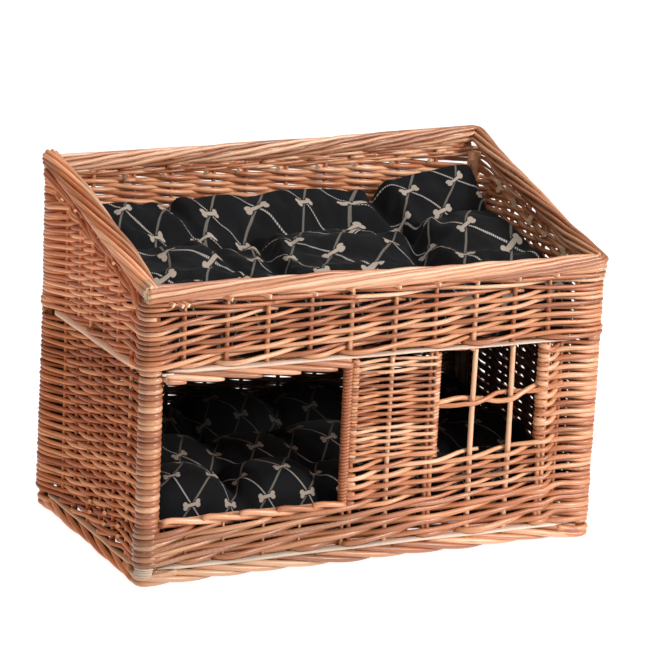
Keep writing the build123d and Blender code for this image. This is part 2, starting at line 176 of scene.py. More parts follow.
def smooth_path(points, step=7.0):
    """Centripetal-like Catmull-Rom curve through the points, sampled about every step."""
    p = np.asarray(points, float)
    if len(p) < 3:
        n = max(2, int(np.linalg.norm(p[-1] - p[0]) / step) + 1)
        return p[0] + (p[-1] - p[0]) * np.linspace(0, 1, n)[:, None]
    d = np.linalg.norm(np.diff(p, axis=0), axis=1)
    d = np.maximum(d, 1e-6)
    s = np.concatenate([[0], np.cumsum(d)])
    m_ = np.zeros_like(p)
    m_[1:-1] = (
        (p[1:-1] - p[:-2]) / d[:-1, None] * (d[1:] / (d[:-1] + d[1:]))[:, None]
        + (p[2:] - p[1:-1]) / d[1:, None] * (d[:-1] / (d[:-1] + d[1:]))[:, None]
    )
    m_[0] = (p[1] - p[0]) / d[0]
    m_[-1] = (p[-1] - p[-2]) / d[-1]
    out = []
    for i in range(len(p) - 1):
        n = max(1, int(round(d[i] / step)))
        x = (np.arange(n) / n)[:, None]
        h = d[i]
        out.append(
            (2 * x**3 - 3 * x**2 + 1) * p[i]
            + (x**3 - 2 * x**2 + x) * h * m_[i]
            + (-2 * x**3 + 3 * x**2) * p[i + 1]
            + (x**3 - x**2) * h * m_[i + 1]
        )
    out.append(p[-1:])
    return np.concatenate(out)


# ------------------------------------------------------------------ where things are (mm)
HALF_L, HALF_W = 298.5, 168.0
MID_X, MID_Y = 291.5, 161.0
POST_X, POST_Y, POST_R = 284.0, 153.5, 9.0
BODY_Z0, SHELF_Z0, SHELF_Z1 = 23.5, 252.5, 257.5
FRONT_TOP, BACK_TOP = 334.0, 424.5
FRONT_STAKES = [-247.0, -196.0, -145.0, -91.0, -38.0, 17.0, 73.0, 124.0, 177.0, 227.0]
BACK_STAKES = [-235.0, -185.0, -132.0, -79.0, -30.0, 22.0, 75.0, 128.0, 181.0, 233.0]
END_STAKES = [96.0, 54.0, 13.0, -29.0, -71.0, -114.0]
SILL_STAKES = [-240.0, -191.0, -142.0, -93.0]
P = 5.72  # height of one row of weaving


def side_top(y):
    """Height of the end walls' upper edge."""
    return 347.5 + (y + 158.0) * (434.0 - 347.5) / 316.0 - 10.9


STAKE_R = 3.0


def stake(x, y, nx, ny, r=STAKE_R, **more):
    d = dict(t="s", x=x, y=y, nx=nx, ny=ny, r=r, lean=rnd.gauss(0, 0.9))
    d.update(more)
    return d


def corner(cx, cy, a0, low, lean=(0.0, 0.0)):
    """A corner post. The basket spreads a little towards its foot, so the posts lean."""
    return dict(t="c", x=cx, y=cy, a0=a0, a1=a0 + 90, r=POST_R, low=low, slope=lean)


def corner_at(c, z):
    d = dict(c)
    k = max(0.0, 255.0 - z) / 255.0
    d["x"] = c["x"] + c["slope"][0] * k
    d["y"] = c["y"] + c["slope"][1] * k
    return d


FL, FR, BR, BL = (
    corner(-284.3, -153.5, 180, 0, (0.3, 0.0)),
    corner(288.2, -154.0, 270, 1, (-0.8, 0.0)),
    corner(286.5, 155.0, 0, 2),
    corner(-286.8, 155.6, 90, 3, (-3.2, 1.6)),
)
RIGHT = [stake(MID_X, y, 1, 0, amp=0.85) for y in sorted(END_STAKES)]
BACK = [stake(x, MID_Y, 0, 1, amp=0.9) for x in sorted(BACK_STAKES, reverse=True)]
LEFT = [stake(-MID_X, y, -1, 0, amp=0.52) for y in sorted(END_STAKES, reverse=True)]


def stake_xy(s, z):
    """A stake leans a little along its wall."""
    k = s.get("lean", 0.0) * (z - 200.0) / 100.0
    return s["x"] - s["ny"] * k, s["y"] + s["nx"] * k


def wrap_points(c, a0, a1, r, z0, z1, step=20.0):
    n = max(2, int(abs(a1 - a0) / step) + 1)
    out = []
    for i in range(n):
        f = i / (n - 1)
        a = math.radians(a0 + (a1 - a0) * f)
        out.append((c["x"] + math.cos(a) * r, c["y"] + math.sin(a) * r, z0 + (z1 - z0) * f))
    return out


def wall_rod(cells, r, zof):
    """Points of one weaver through its (vertical, side, row) cells."""
    pts = []
    for v, side, k in cells:
        z = zof(v, k)
        if v["t"] == "s":
            x, y = stake_xy(v, z)
            off = side * (v["r"] + r * 0.97) * v.get("amp", 1.0)
            if v.get("wide"):  # two sticks side by side
                for dx in (-v["wide"], v["wide"]):
                    pts.append((x - v["ny"] * dx + v["nx"] * off, y + v["nx"] * dx + v["ny"] * off, z))
            else:
                pts.append((x + v["nx"] * off, y + v["ny"] * off, z))
        elif side < 0:  # inside the post
            c = corner_at(v, z)
            a = math.radians(v["a0"] + 45)
            d = v["r"] + r
            pts.append((c["x"] - math.cos(a) * d, c["y"] - math.sin(a) * d, z))
        else:
            out = v["r"] + r * 0.97 + (1.9 if v.get("bulge") and v["bulge"](z) else 0.0)
            pts += wrap_points(corner_at(v, z), v["a0"] + 2, v["a1"] - 2, out, z - 0.5, z + 0.5, 22)
    return pts


def weave(loop, rows, allowed, zof, sideof, bags, radius=(2.5, 2.95), closed=True, life=(9, 17)):
    """Traces every weaver: from one vertical to the next it climbs one row.
    allowed(i, k) says whether the weaving covers vertical i at row k; bags(i) gives the mesh of a vertical."""
    n = len(loop)

    def rise(i):  # no climb on the way to a corner post
        return 0 if loop[i % n]["t"] == "c" else 1

    for i in range(n):
        for k in range(rows):
            if not allowed(i, k):
                continue
            p_i, p_k = (i - 1) % n, k - rise(i)
            if p_k >= 0 and allowed(p_i, p_k) and (closed or i > 0):
                continue
            run = []
            a, b = i, k
            while b < rows and allowed(a, b) and len(run) < 200:
                run.append((a, b))
                if not closed and a == n - 1:
                    break
                a = (a + 1) % n
                b += rise(a)
            first = True
            # the run is laid with rods of a natural length, joined inside the wall
            while run:
                take = rnd.randint(*life)
                if take < len(run) - 3:
                    while take < len(run) and not (loop[run[take][0]]["t"] == "s" and sideof(*run[take]) < 0):
                        take += 1
                else:
                    take = len(run)
                part = run[: take + 1] if take < len(run) else run
                last = take >= len(run)
                place(loop, part, zof, sideof, bags, radius, first, last)
                run = run[take:]
                first = False
                if last:
                    break


def place(loop, part, zof, sideof, bags, radius, starts, ends):
    r = rnd.uniform(*radius)
    cells = [(loop[i], sideof(i, k), k) for i, k in part]
    pts = wall_rod(cells, r, zof)
    if not pts:
        return
    v0, s0, k0 = cells[0]
    v1, s1, k1 = cells[-1]
    z0, z1 = zof(v0, k0), zof(v1, k1)
    head, tail = [], []
    if starts and v0.get("turn") == "start":
        # comes round the post from the other side of the wall
        rr = v0["r"] + r * 0.97
        c = dict(x=v0["x"], y=v0["y"])
        w = v0.get("wide", 0)
        c["x"] -= w
        if s0 > 0:
            head = wrap_points(c, 62, 235, rr, z0 - 2.2, z0 - 0.3, 22)
        else:
            head = wrap_points(c, 298, 122, rr, z0 - 2.2, z0 - 0.3, 22)
    elif starts:
        if v0["t"] == "s":
            x, y = stake_xy(v0, z0)
            d = 13.0
            if s0 > 0:
                head = [(x + v0["ny"] * d - v0["nx"] * 5.5, y - v0["nx"] * d - v0["ny"] * 5.5, z0 - 0.8)]
            else:
                head = [(x + v0["ny"] * d - v0["nx"] * 7.0, y - v0["nx"] * d - v0["ny"] * 7.0, z0 - 0.8)]
    else:
        x, y = stake_xy(v0, z0)
        d = rnd.uniform(9, 15)
        head = [(x + v0["ny"] * d - v0["nx"] * 8.5, y - v0["nx"] * d - v0["ny"] * 8.5, z0 - 0.8)]
    if ends and v1.get("turn") == "end":
        rr = v1["r"] + r * 0.97
        w = v1.get("wide", 0)
        c = dict(x=v1["x"] + w, y=v1["y"])
        if s1 > 0:
            tail = wrap_points(c, -55, 118, rr, z1 + 0.3, z1 + 2.2, 22)
        else:
            tail = wrap_points(c, 58, -118, rr, z1 + 0.3, z1 + 2.2, 22)
    elif ends and v1["t"] == "c" and v1.get("around"):
        tail = wrap_points(v1, v1["a1"] + 14, v1["a1"] + 150, v1["r"] + r * 0.97, z1 + 0.8, z1 + 1.6, 22)
    elif ends and v1.get("into"):
        x, y, dz = v1["into"]
        tail = [(x, y, z1 + dz * 0.5), (x + 3, y - 8, z1 + dz)]
    elif ends:
        if v1["t"] == "s":
            x, y = stake_xy(v1, z1)
            d = 14.0
            tail = [(x - v1["ny"] * d - v1["nx"] * 6.5, y + v1["nx"] * d - v1["ny"] * 6.5, z1 + 0.4)]
    else:
        x, y = stake_xy(v1, z1)
        d = rnd.uniform(9, 15)
        tail = [(x - v1["ny"] * d - v1["nx"] * 8.0, y + v1["nx"] * d - v1["ny"] * 8.0, z1 + 0.8)]
    pts = smooth_path(head + pts + tail, 6.5)
    n = len(pts)
    f = np.linspace(0, 1, n)
    drift = np.zeros(n)
    for _ in range(3):
        drift += rnd.uniform(0, 0.16) * np.sin(f * rnd.uniform(4, 22) + rnd.uniform(0, 6))
    pts[:, 2] += drift
    rad = r * (1.05 - 0.13 * f) * (1 + 0.035 * np.sin(f * rnd.uniform(9, 30) + rnd.uniform(0, 6)))
    # the back and the ends are packed a little closer than the front
    low_ = pts[:, 2] < SHELF_Z0
    rad *= np.where((pts[:, 1] > 146) & (pts[:, 0] > -276) & ((pts[:, 0] < 281) | low_), np.where(low_, 1.42, 1.16), 1.0)
    rad *= np.where((np.abs(pts[:, 0]) > 281) & (pts[:, 1] > -140) & (pts[:, 1] < 146), np.where(pts[:, 0] > 0, np.where(low_, 1.52, 1.24), 1.08), 1.0)
    rad *= np.where((pts[:, 1] < -146) & (pts[:, 2] < np.where(pts[:, 0] < 60, 92, 72)), 1.24, 1.0)
    rad *= np.where((pts[:, 1] < -146) & (pts[:, 2] >= 72) & low_ & (pts[:, 0] > 215), 1.12, 1.0)
    mid = part[len(part) // 2][0]
    bags(mid).tube(pts, rad, sides=8)


# ------------------------------------------------------------------ lower storey
D_POST = stake(-30.2, -MID_Y, 0, -1, 3.0, lean=0.0)
D_POST.update(turn="start", lean=0.0)
PIER = stake(17.5, -MID_Y, 0, -1, 3.0)
W_POST = stake(72.3, -MID_Y, 0, -1, 3.0)
W_POST.update(turn="end", wide=3.3, lean=0.0)
BAR1, BAR2 = stake(128.5, -MID_Y, 0, -1, 3.0), stake(180.0, -MID_Y, 0, -1, 3.0)
BAR1["lean"] = BAR2["lean"] = 0.0
V_POST = stake(226.0, -MID_Y, 0, -1, 3.0)
V_POST.update(turn="start", lean=0.0, wide=2.6)
R_STAKE = stake(247.0, -MID_Y, 0, -1, 3.0, amp=0.65)
FL_LOW = dict(FL)
SILLS = [stake(x, -MID_Y, 0, -1, amp=0.6) for x in SILL_STAKES]
LEFT_LOW = [dict(s) for s in LEFT]
LEFT_LOW[-1]["into"] = (-289.5, -144.5, 1.5)
LOW = [FL_LOW] + SILLS + [D_POST, PIER, W_POST, BAR1, BAR2, V_POST, R_STAKE, FR] + RIGHT + [BR] + BACK + [BL] + LEFT_LOW
LOW_ROWS = 40
SILL_ROWS, WIN_ROWS = 8, 18
NL = len(LOW)


def low_allowed(i, k):
    if k < 0 or k >= LOW_ROWS:
        return False
    if 0 <= i <= 4:
        return k < SILL_ROWS
    if i in (8, 9):
        return k < WIN_ROWS
    if i in (5, 6, 7):
        return k < WIN_ROWS + i - 6
    return True


jit_low = rng.normal(0, 0.34, (NL, 60))


def low_z(v, k):
    i = LOW.index(v)
    z = BODY_Z0 + (k + 0.5) * P
    return z + jit_low[i, k]


def low_side(i, k):
    v = LOW[i]
    if v["t"] == "c":
        return 1
    if k < 2 or (k < 8 and i <= 12):
        return -1 if (i + k) % 3 == 0 else 1
    return 1 if k % 2 == 0 else -1


low_front, low_right, low_back, low_left = Bag(), Bag(), Bag(), Bag()
low_pier = Bag()


def low_bag(i):
    if i <= 7:
        return low_front if i <= 4 else low_pier
    if i <= 12:
        return low_pier if i <= 11 else low_front
    if i <= 18:
        return low_right
    if i <= 30:
        return low_back
    return low_left


weave(LOW, LOW_ROWS, low_allowed, low_z, low_side, low_bag)

# the pier above that is woven to and fro, turning round its own posts
pier_z = BODY_Z0 + (WIN_ROWS + 0.2) * P
step_ = 4.25
rows_ = int((SHELF_Z0 - 1.0 - pier_z) / step_)
for lot in range(0, rows_, 5):
    pts = []
    rr = rnd.uniform(2.05, 2.3)
    for j in range(lot, min(lot + 5, rows_)):
        z = pier_z + j * step_ + rnd.uniform(-0.25, 0.25)
        side = 1 if j % 2 == 0 else -1
        path_ = []
        for v, sd in ((D_POST, 1), (PIER, -1), (W_POST, 1)):
            off = side * sd * (v["r"] + rr * 0.95)
            w = v.get("wide", 0)
            for dx in (-w, w) if w else (0,):
                path_.append((v["x"] + dx, v["y"] - off, z))
        if j % 2:
            path_ = path_[::-1]
            turn_at = (D_POST["x"] - D_POST["r"] - rr, D_POST["y"], z + step_ * 0.5)
        else:
            turn_at = (W_POST["x"] + W_POST["wide"] + W_POST["r"] + rr, W_POST["y"], z + step_ * 0.5)
        pts += path_ + [turn_at]
    pts = smooth_path(pts, 5.0)
    low_pier.tube(pts, rr * (1.04 - 0.1 * np.linspace(0, 1, len(pts))), sides=8)
# both posts are ringed where those rows turn
for v, x_ in ((D_POST, D_POST["x"]), (W_POST, W_POST["x"])):
    for j in range(rows_):
        z = pier_z + (j + 0.5) * step_
        c = dict(x=x_ + (v.get("wide", 0) if x_ > 0 else 0), y=v["y"])
        a0 = -120 if x_ > 0 else 60
        pts = wrap_points(c, a0, a0 + 240, v["r"] + 2.1, z - 0.3, z + 0.3, 24)
        low_pier.tube(smooth_path(pts, 4), 2.05, sides=8)

# ------------------------------------------------------------------ upper storey
FRONT = [stake(x, -MID_Y, 0, -1) for x in FRONT_STAKES]
def edge_bulge(c):
    top = FRONT_TOP if c["y"] < 0 else BACK_TOP
    return lambda z: z < SHELF_Z1 + 10 or z > top - 9


UP = [dict(FL)] + FRONT + [dict(FR)] + RIGHT + [dict(BR)] + BACK + [dict(BL, into=(-292.5, 134.0, 1.0))] + LEFT
for c in UP:
    if c["t"] == "c":
        c["bulge"] = edge_bulge(c)
NU = len(UP)


def up_top(v):
    """Where the weaving ends under the rim at this vertical."""
    if v["t"] == "c":
        return FRONT_TOP if v["y"] < 0 else BACK_TOP - 2
    if abs(v["ny"]) > 0:
        return FRONT_TOP if v["ny"] < 0 else BACK_TOP
    return side_top(v["y"])


TOP_WALE = 2
UP_ROWS = 44


def up_pitch(v):
    """The rows are beaten down closer towards the back."""
    return P - 1.15 * min(1.0, max(0.0, (v["y"] + MID_Y) / (2 * MID_Y)))


up_rows = [int((up_top(v) - TOP_WALE * up_pitch(v) - SHELF_Z1 + 1.0) / up_pitch(v)) for v in UP]
jit_up = rng.normal(0, 0.34, (NU, 60))


def up_allowed(i, k):
    return 0 <= k < up_rows[i]


def up_z(v, k):
    i = UP.index(v)
    return SHELF_Z1 + (k + 0.5) * up_pitch(v) + jit_up[i, k]


def up_side(i, k):
    if UP[i]["t"] == "c":
        return -1 if UP[i]["low"] == 2 and k % 2 == 1 else 1
    if k < 2:
        return -1 if (i + k) % 3 == 0 else 1
    return 1 if k % 2 == 1 else -1


up_front, up_right, up_back, up_left = Bag(), Bag(), Bag(), Bag()


def up_bag(i):
    if i <= 11:
        return up_front
    if i <= 17:
        return up_right
    if i <= 29:
        return up_back
    return up_left


weave(UP, UP_ROWS, up_allowed, up_z, up_side, up_bag, life=(8, 14))

# the top rows run along the upper edge of each wall
for w in range(TOP_WALE + 1):
    i = 0
    start = rnd.randint(0, 5)
    pos = start
    while pos < NU + start:
        count = rnd.randint(9, 13)
        ids = [(j % NU) for j in range(pos, min(pos + count + 1, NU + start + 1))]
        r = rnd.uniform(2.3, 2.6)
        cells = []
        for j in ids:
            v = UP[j]
            side = 1 if v["t"] == "c" else (-1 if (j + w * 2) % 3 == 0 else 1)
            cells.append((v, side, j))
        pts = wall_rod(cells, r, lambda v, k, w=w: up_top(v) - (TOP_WALE - w + 0.1) * up_pitch(v) * 0.98 + 0.6 * math.sin(k * 1.7 + w))
        pts = smooth_path(pts, 6.5)
        f = np.linspace(0, 1, len(pts))
        up_bag(ids[len(ids) // 2]).tube(pts, r * (1.06 - 0.14 * f), sides=8)
        pos += count

# thin rods packed in between the last rows and the sloping edge of the end walls
for wall, bag in ((LEFT, up_left), (RIGHT, up_right)):
    ys = sorted([s["y"] for s in wall] + [150.0, -146.0], reverse=True)
    for ya, yb in zip(ys[:-1], ys[1:]):
        for m_ in range(6 if wall is RIGHT else 4):
            za = side_top(ya) - 9.5 - 3.1 * m_ + rnd.uniform(-1, 1)
            zb = side_top(yb) - 8.0 - 2.6 * m_ + rnd.uniform(-1, 1)
            nx = wall[0]["nx"]
            f = np.linspace(-0.12, 1.12, 12)
            off = np.sin(np.clip(f, 0, 1) * math.pi) * (5.6 if m_ % 2 else 2.0) - 1.5
            pts = np.stack([nx * (MID_X + off), ya + (yb - ya) * f, za + (zb - za) * f], -1)
            bag.tube(pts, rnd.uniform(1.5, 2.1), sides=7)

# the lowest rods lie inside the first rows
for y_, a_, b_ in ((-156.5, -276, 278), (157.0, -276, 276)):
    bag = low_front if y_ < 0 else low_back
    for z_ in (22.6, 27.0):
        bag.tube(smooth_path([(a_, y_, z_), (0, y_ + 0.6, z_ + 0.3), (b_, y_, z_)], 20), 3.2, sides=8)
# rods packed in under the back border
for m_ in range(7):
    for j_ in range(9):
        xa = -262.0 + 62.0 * j_ + rnd.uniform(-5, 5)
        xb = min(284.0, xa + 92.0)
        f = np.linspace(0, 1, 14)
        z_ = BACK_TOP - 10.5 + 3.7 * m_ + 0.02 * np.maximum(0, xa - 100) + 2.4 * (f - 0.5)
        pts = np.stack([xa + (xb - xa) * f, MID_Y - 1.5 + 3.0 * np.sin(f * 7 + m_ * 2.1), z_], -1)
        up_back.tube(pts, rnd.uniform(2.2, 2.6), sides=7)
# a few cut ends stand out of the left wall near its foot
for y_, z_ in ((92.5, 15.8), (-13.1, 58.1), (-14.0, 44.7), (-61.8, 58.7), (-59.6, 44.4), (-103.3, 56.1), (-104.1, 44.1)):
    low_left.tube(smooth_path([(-289.0, y_ + 17, z_ - 1.0), (-295.0, y_ + 9, z_ - 0.3), (-299.5, y_, z_)], 4), 2.5, sides=9)

# ------------------------------------------------------------------ stakes and posts
stakes_low, stakes_up, posts = Bag(), Bag(), Bag()


def upright(bag, s, z0, z1, r, sides=8, caps=(1, 1)):
    zs = np.arange(z0, z1 + 0.1, (z1 - z0) / max(3, int((z1 - z0) / 22)))
    wob = rnd.uniform(0, 6)
    pts = []
    for z in zs:
        x, y = stake_xy(s, z)
        k = 0.5 * math.sin(z / 41.0 + wob)
        pts.append((x - s["ny"] * k, y + s["nx"] * k, z))
    pts = np.array(pts)
    rad = r * (1.04 - 0.09 * np.linspace(0, 1, len(pts))) * (1 + 0.02 * np.sin(np.arange(len(pts)) * 1.9 + wob))
    bag.tube(pts, rad, sides=sides, caps=caps, ref=(0, 1, 0) if abs(s.get("nx", 0)) < 0.5 else (1, 0, 0))


for s in SILLS:
    upright(stakes_low, s, 12, 72, 1.9)
for s in (PIER, R_STAKE):
    upright(stakes_low, s, 12, 256, 3.0 if s is PIER else 2.1)
for s in RIGHT + BACK + LEFT:
    upright(stakes_low, s, 12, 256, 3.0)
for s in FRONT + BACK + RIGHT + LEFT:
    top = FRONT_TOP if s["ny"] < 0 else (BACK_TOP if s["ny"] > 0 else side_top(s["y"]))
    upright(stakes_up, s, 250, top + 5, 3.0)

bars = Bag()
for s in (BAR1, BAR2):
    upright(bars, s, 14, 256, 3.25, sides=12)
jambs = Bag()
for x in (-39.4, -30.2, 69.0, 75.6, 223.2, 229.0):
    s = dict(x=x, y=-MID_Y, nx=0, ny=-1, lean=0.0)
    upright(jambs, s, 14, 256, 2.4 if x == -39.4 else 2.9, sides=10)
# the outer stick of the door post is bound with one thin rod, turn on turn
n = int((251 - 68) / 3.9)
th = np.linspace(0, n * TAU, n * 16)
hz = 68 + th / TAU * 3.9
jambs.tube(
    np.stack([-39.2 + 4.3 * np.cos(th), -MID_Y + 4.5 * np.sin(th), hz], -1),
    2.0 + 0.12 * np.sin(th * 0.37),
    sides=8,
)

for c, top in ((FL, 331), (FR, 331), (BR, 420), (BL, 420)):
    zs = np.linspace(10, top, 24)
    wob = rnd.uniform(0, 6)
    cc = [corner_at(c, z) for z in zs]
    pts = np.stack([[q["x"] for q in cc] + 0.3 * np.sin(zs / 60 + wob), [q["y"] for q in cc] + 0.3 * np.cos(zs / 47 + wob), zs], -1)
    posts.tube(pts, POST_R * (1.0 - 0.02 * np.linspace(0, 1, 24)), sides=20, ref=(0, 1, 0))

# the front left post is bound turn on turn beside the doorway
binds = Bag()
z = 72.6
while z < 251.0:
    h = rnd.choice((6.1, 6.6, 7.2, 7.5))
    c = corner_at(FL, z)
    r = h * 0.5
    pts = wrap_points(c, 164 + rnd.uniform(-2, 3), 415, POST_R + 2.5 + 0.12 * (h - 6.8), z - 0.5, z + 0.9, 14)
    binds.tube(np.array(pts), (2.75, r + 0.12), sides=10, ref=(0, 0, 1), seed=0.5 + 0.5 * rnd.random())
    z += h
z = 27.0
while z < 71.0:
    h = rnd.choice((6.1, 6.6, 7.2, 7.5))
    c = corner_at(FL, z)
    pts = wrap_points(c, 172 + rnd.uniform(-2, 3), 322, POST_R + 4.9, z - 0.5, z + 0.9, 14)
    binds.tube(np.array(pts), (2.3, h * 0.5 + 0.12), sides=10, ref=(0, 0, 1), seed=0.5 + 0.5 * rnd.random())
    z += h
# short bindings round the corner posts where the storeys meet, and under the base frame
for c in (FL, FR, BR, BL):
    for z in (SHELF_Z0 + 0.6, SHELF_Z1 - 2.0):
        pts = wrap_points(c, c["a0"] - 38, c["a0"] + 130, POST_R + 2.4, z - 0.6, z + 0.6, 12)
        binds.tube(smooth_path(pts, 5), 2.45, sides=8)
    for z in (20.8,):
        pts = wrap_points(c, c["a0"] - 40, c["a0"] + 130, POST_R + 2.3, z, z + 0.6, 12)
        binds.tube(smooth_path(pts, 5), 2.4, sides=8)


# ------------------------------------------------------------------ ropes: rim, foot, sill and head borders
def path_frame(path):
    t = np.gradient(path, axis=0)
    t /= np.linalg.norm(t, axis=1)[:, None]
    o = np.cross(t, (0, 0, 1.0))
    o /= np.linalg.norm(o, axis=1)[:, None]
    u = np.cross(o, t)
    s = np.concatenate([[0], np.cumsum(np.linalg.norm(np.diff(path, axis=0), axis=1))])
    return s, o, u


def dense(points, step=4.0):
    p = np.asarray(points, float)
    out = []
    for a, b in zip(p[:-1], p[1:]):
        n = max(1, int(np.linalg.norm(b - a) / step))
        out.append(a + (b - a) * (np.arange(n) / n)[:, None])
    out.append(p[-1:])
    return np.concatenate(out)


def rounded(points, radius, step=4.0):
    """Straight runs joined by arcs in plan."""
    p = [np.asarray(q, float) for q in points]
    out = [p[0]]
    for a, b, c in zip(p[:-2], p[1:-1], p[2:]):
        d0, d1 = a - b, c - b
        d0 = d0 / np.linalg.norm(d0)
        d1 = d1 / np.linalg.norm(d1)
        for f in np.linspace(0, 1, 9):
            w0, w1 = b + d0 * radius, b + d1 * radius
            out.append((1 - f) ** 2 * w0 + 2 * f * (1 - f) * b + f**2 * w1)
    out.append(p[-1])
    return dense(out, step)


def strand(bag, path, fr, s0, s1, th0, turn, A, B, r0, r1, caps=(1, 1), sides=9, noise=0.35, slow=0.0, centre=0.2):
    """One rod of a border, wound round the path from s0 to s1."""
    s, o, u = fr
    m_ = (s >= s0) & (s <= s1)
    if m_.sum() < 4:
        return
    ss = s[m_]
    q = turn * (ss - s0) + th0
    th = q - slow * (np.sin(q - centre) - np.sin(th0 - centre))
    ph = rnd.uniform(0, 6)
    if callable(A):
        A = A(ss)
    wig = noise * np.sin(ss / rnd.uniform(24, 46) + ph) + rnd.uniform(-1.0, 0.7)
    pts = path[m_] + ((A + wig) * np.cos(th))[:, None] * o[m_] + ((B + wig) * np.sin(th))[:, None] * u[m_]
    f = (ss - ss[0]) / (ss[-1] - ss[0])
    rad = (r0 + (r1 - r0) * f) * (1 + 0.025 * np.sin(ss / 17.0 + ph))
    bag.tube(pts, rad, sides=sides, caps=caps, blunt=0.72)


def rim_rope(bag, path, spacing, N=9, A=8.3, B=8.5, r=3.0, s_from=0.0, s_to=None, ends=(0, 0), slow=0.3):
    fr = path_frame(path)
    L = fr[0][-1]
    s_to = L if s_to is None else s_to
    lead = N * spacing
    turn = TAU / lead
    k = -N
    while k * spacing < s_to + 1:
        a = s_from + k * spacing + rnd.uniform(-2, 2)
        b = a + lead * 1.02
        th0 = math.radians(-84)
        start = a
        if a < s_from:
            th0 += turn * (s_from - a)
            start = s_from - rnd.uniform(0, ends[0])
        stop = min(b, s_to + rnd.uniform(0, ends[1]))
        if stop - start > 20:
            f0 = (start - a) / lead
            rr = r * rnd.uniform(0.84, 1.04)
            strand(bag, path, fr, start, stop, th0, turn, A, B, rr * (1.08 - 0.16 * f0), rr * 0.92, caps=(1, 1), slow=slow)
        k += 1
    # the heart of the border
    core = path.copy()
    bag.tube(core[2:-2:2], 5.0, sides=8, seed=0.05)
    return fr


rims = Bag()
RY, RX = 170.5 - 11.3, 301.0 - 11.3
RZF, RZB = 345.6, 436.0
rim_path = rounded(
    [
        (-RX - 6, -RY, RZF - 0.5),
        (0, -RY - 0.5, RZF + 0.8),
        (RX - 60, -RY - 1.0, RZF - 0.5),
        (RX + 4.2, -RY - 2.0, RZF + 0.8),
        (RX + 3.6, -RY + 70, RZF + 16.0),
        (RX + 2.6, RY - 60, RZB - 16.0),
        (RX + 1.5, RY + 1.5, RZB + 7.6),
        (60, RY, RZB - 0.5),
        (-RX + 40, RY, RZB - 4.6),
        (-RX - 8, RY, RZB - 5.0),
    ],
    8.0,
)
lump = np.cumsum(np.concatenate([[0], np.linalg.norm(np.diff(rim_path, axis=0), axis=1)]))
rim_path[:, 2] += 0.25 * np.sin(lump / 52.5 * TAU) + 0.5 * np.sin(lump / 83.0)
rim_rope(rims, rim_path, 52.5, s_to=None)
rim_l = Bag()
left_path = smooth_path(
    [
        (-RX - 1.5, RY + 7, RZB + 1.0),
        (-RX - 0.5, RY - 12, RZB - 3.2),
        (-RX + 2.2, 70, RZB - 24.0),
        (-RX + 3.4, -20, RZF + 40.5),
        (-RX + 2.2, -100, RZF + 19.0),
        (-RX + 0.5, -RY + 14, RZF + 5.5),
        (-RX, -RY - 3, RZF + 1.0),
    ],
    4.0,
)
SL = np.linalg.norm(np.diff(left_path, axis=0), axis=1).sum()
rim_rope(rim_l, left_path, 42.0, N=10, A=lambda q: 8.3 + 3.2 * np.sin(np.clip(q / SL, 0, 1) * math.pi), B=8.0, ends=(8, 0), slow=0.15)

# cut ends that stand out under the rim, one beside each stake
stubs = Bag()
# three heavier ends at the front left corner
for x, z, r in ((-268.0, 334.0, 3.3), (-256.5, 332.0, 2.7), (-249.5, 332.5, 2.5)):
    pts = np.array([(x - 10, -MID_Y + 2, z + 8.0), (x - 3, -MID_Y - 4.5, z + 3.0), (x + 1.5, -MID_Y - 10.5, z + 0.3)])
    stubs.tube(smooth_path(pts, 3), r, sides=12)
for x in FRONT_STAKES[1:]:
    z = FRONT_TOP + rnd.uniform(0.2, 2.4)
    x0 = x + rnd.uniform(-6, 6)
    pts = np.array([(x0 - 14, -MID_Y - 1, z + 4.0), (x0 - 5, -MID_Y - 5.5, z + 1.8), (x0, -MID_Y - 10.2, z + 0.6)])
    stubs.tube(smooth_path(pts, 3), rnd.uniform(2.1, 2.7), sides=10)
for sx, ys_ in ((-1, (54.0, -71.0)), (1, (96.0, 13.0, -71.0))):
    for y in ys_:
        z = side_top(y) + rnd.uniform(0.5, 3.5)
        pts = np.array([(sx * (MID_X + 2), y + sx * -22, z + 1.0 - sx * 5), (sx * (MID_X + 6.0), y + sx * -10, z - sx * 1), (sx * (MID_X + 8.7), y, z - 0.5)])
        stubs.tube(smooth_path(pts, 4), rnd.uniform(1.9, 2.4), sides=9)

# foot border: thick rods that run down to the right on the outside
foot = Bag()
FY, FX = 169.0 - 10.2, 300.0 - 10.2
corners = [(-FX, FY), (-FX, -FY), (FX, -FY), (FX, FY)]
loop_pts = [(0, FY)] + corners + [(0, FY)]
foot_path = rounded([(x, y, 11.0) for x, y in loop_pts], 16.0)
fr = path_frame(foot_path)
LF = fr[0][-1]
nst = int(LF / 50)
sp = LF / nst
turn = -TAU / (4 * sp)
dip = np.zeros(len(foot_path))
foot_path[:, 0] *= 1.006
foot_path[:, 1] *= 1.004
for cx, cy in corners:
    dip += np.exp(-((foot_path[:, 0] - cx) ** 2 + (foot_path[:, 1] - cy) ** 2) / (2 * 24.0**2))
foot_path[:, 2] -= 2.2 * dip
for k in range(-4, nst + 1):
    a = k * sp + rnd.uniform(-3, 3)
    b = a + sp * 4.2
    th0 = math.radians(96)
    s0, s1 = a, b
    if a < 0:
        th0 += turn * (0 - a)
        s0 = 0
    if b > LF:
        s1 = LF
    if s1 - s0 > 12:
        strand(foot, foot_path, fr, s0, s1, th0, turn, 7.0, 5.9, rnd.uniform(3.9, 4.2), 3.4, caps=(1, 1), noise=0.4, slow=0.2)
foot.tube(foot_path[::2], (3.4, 2.4), sides=8, seed=0.05)
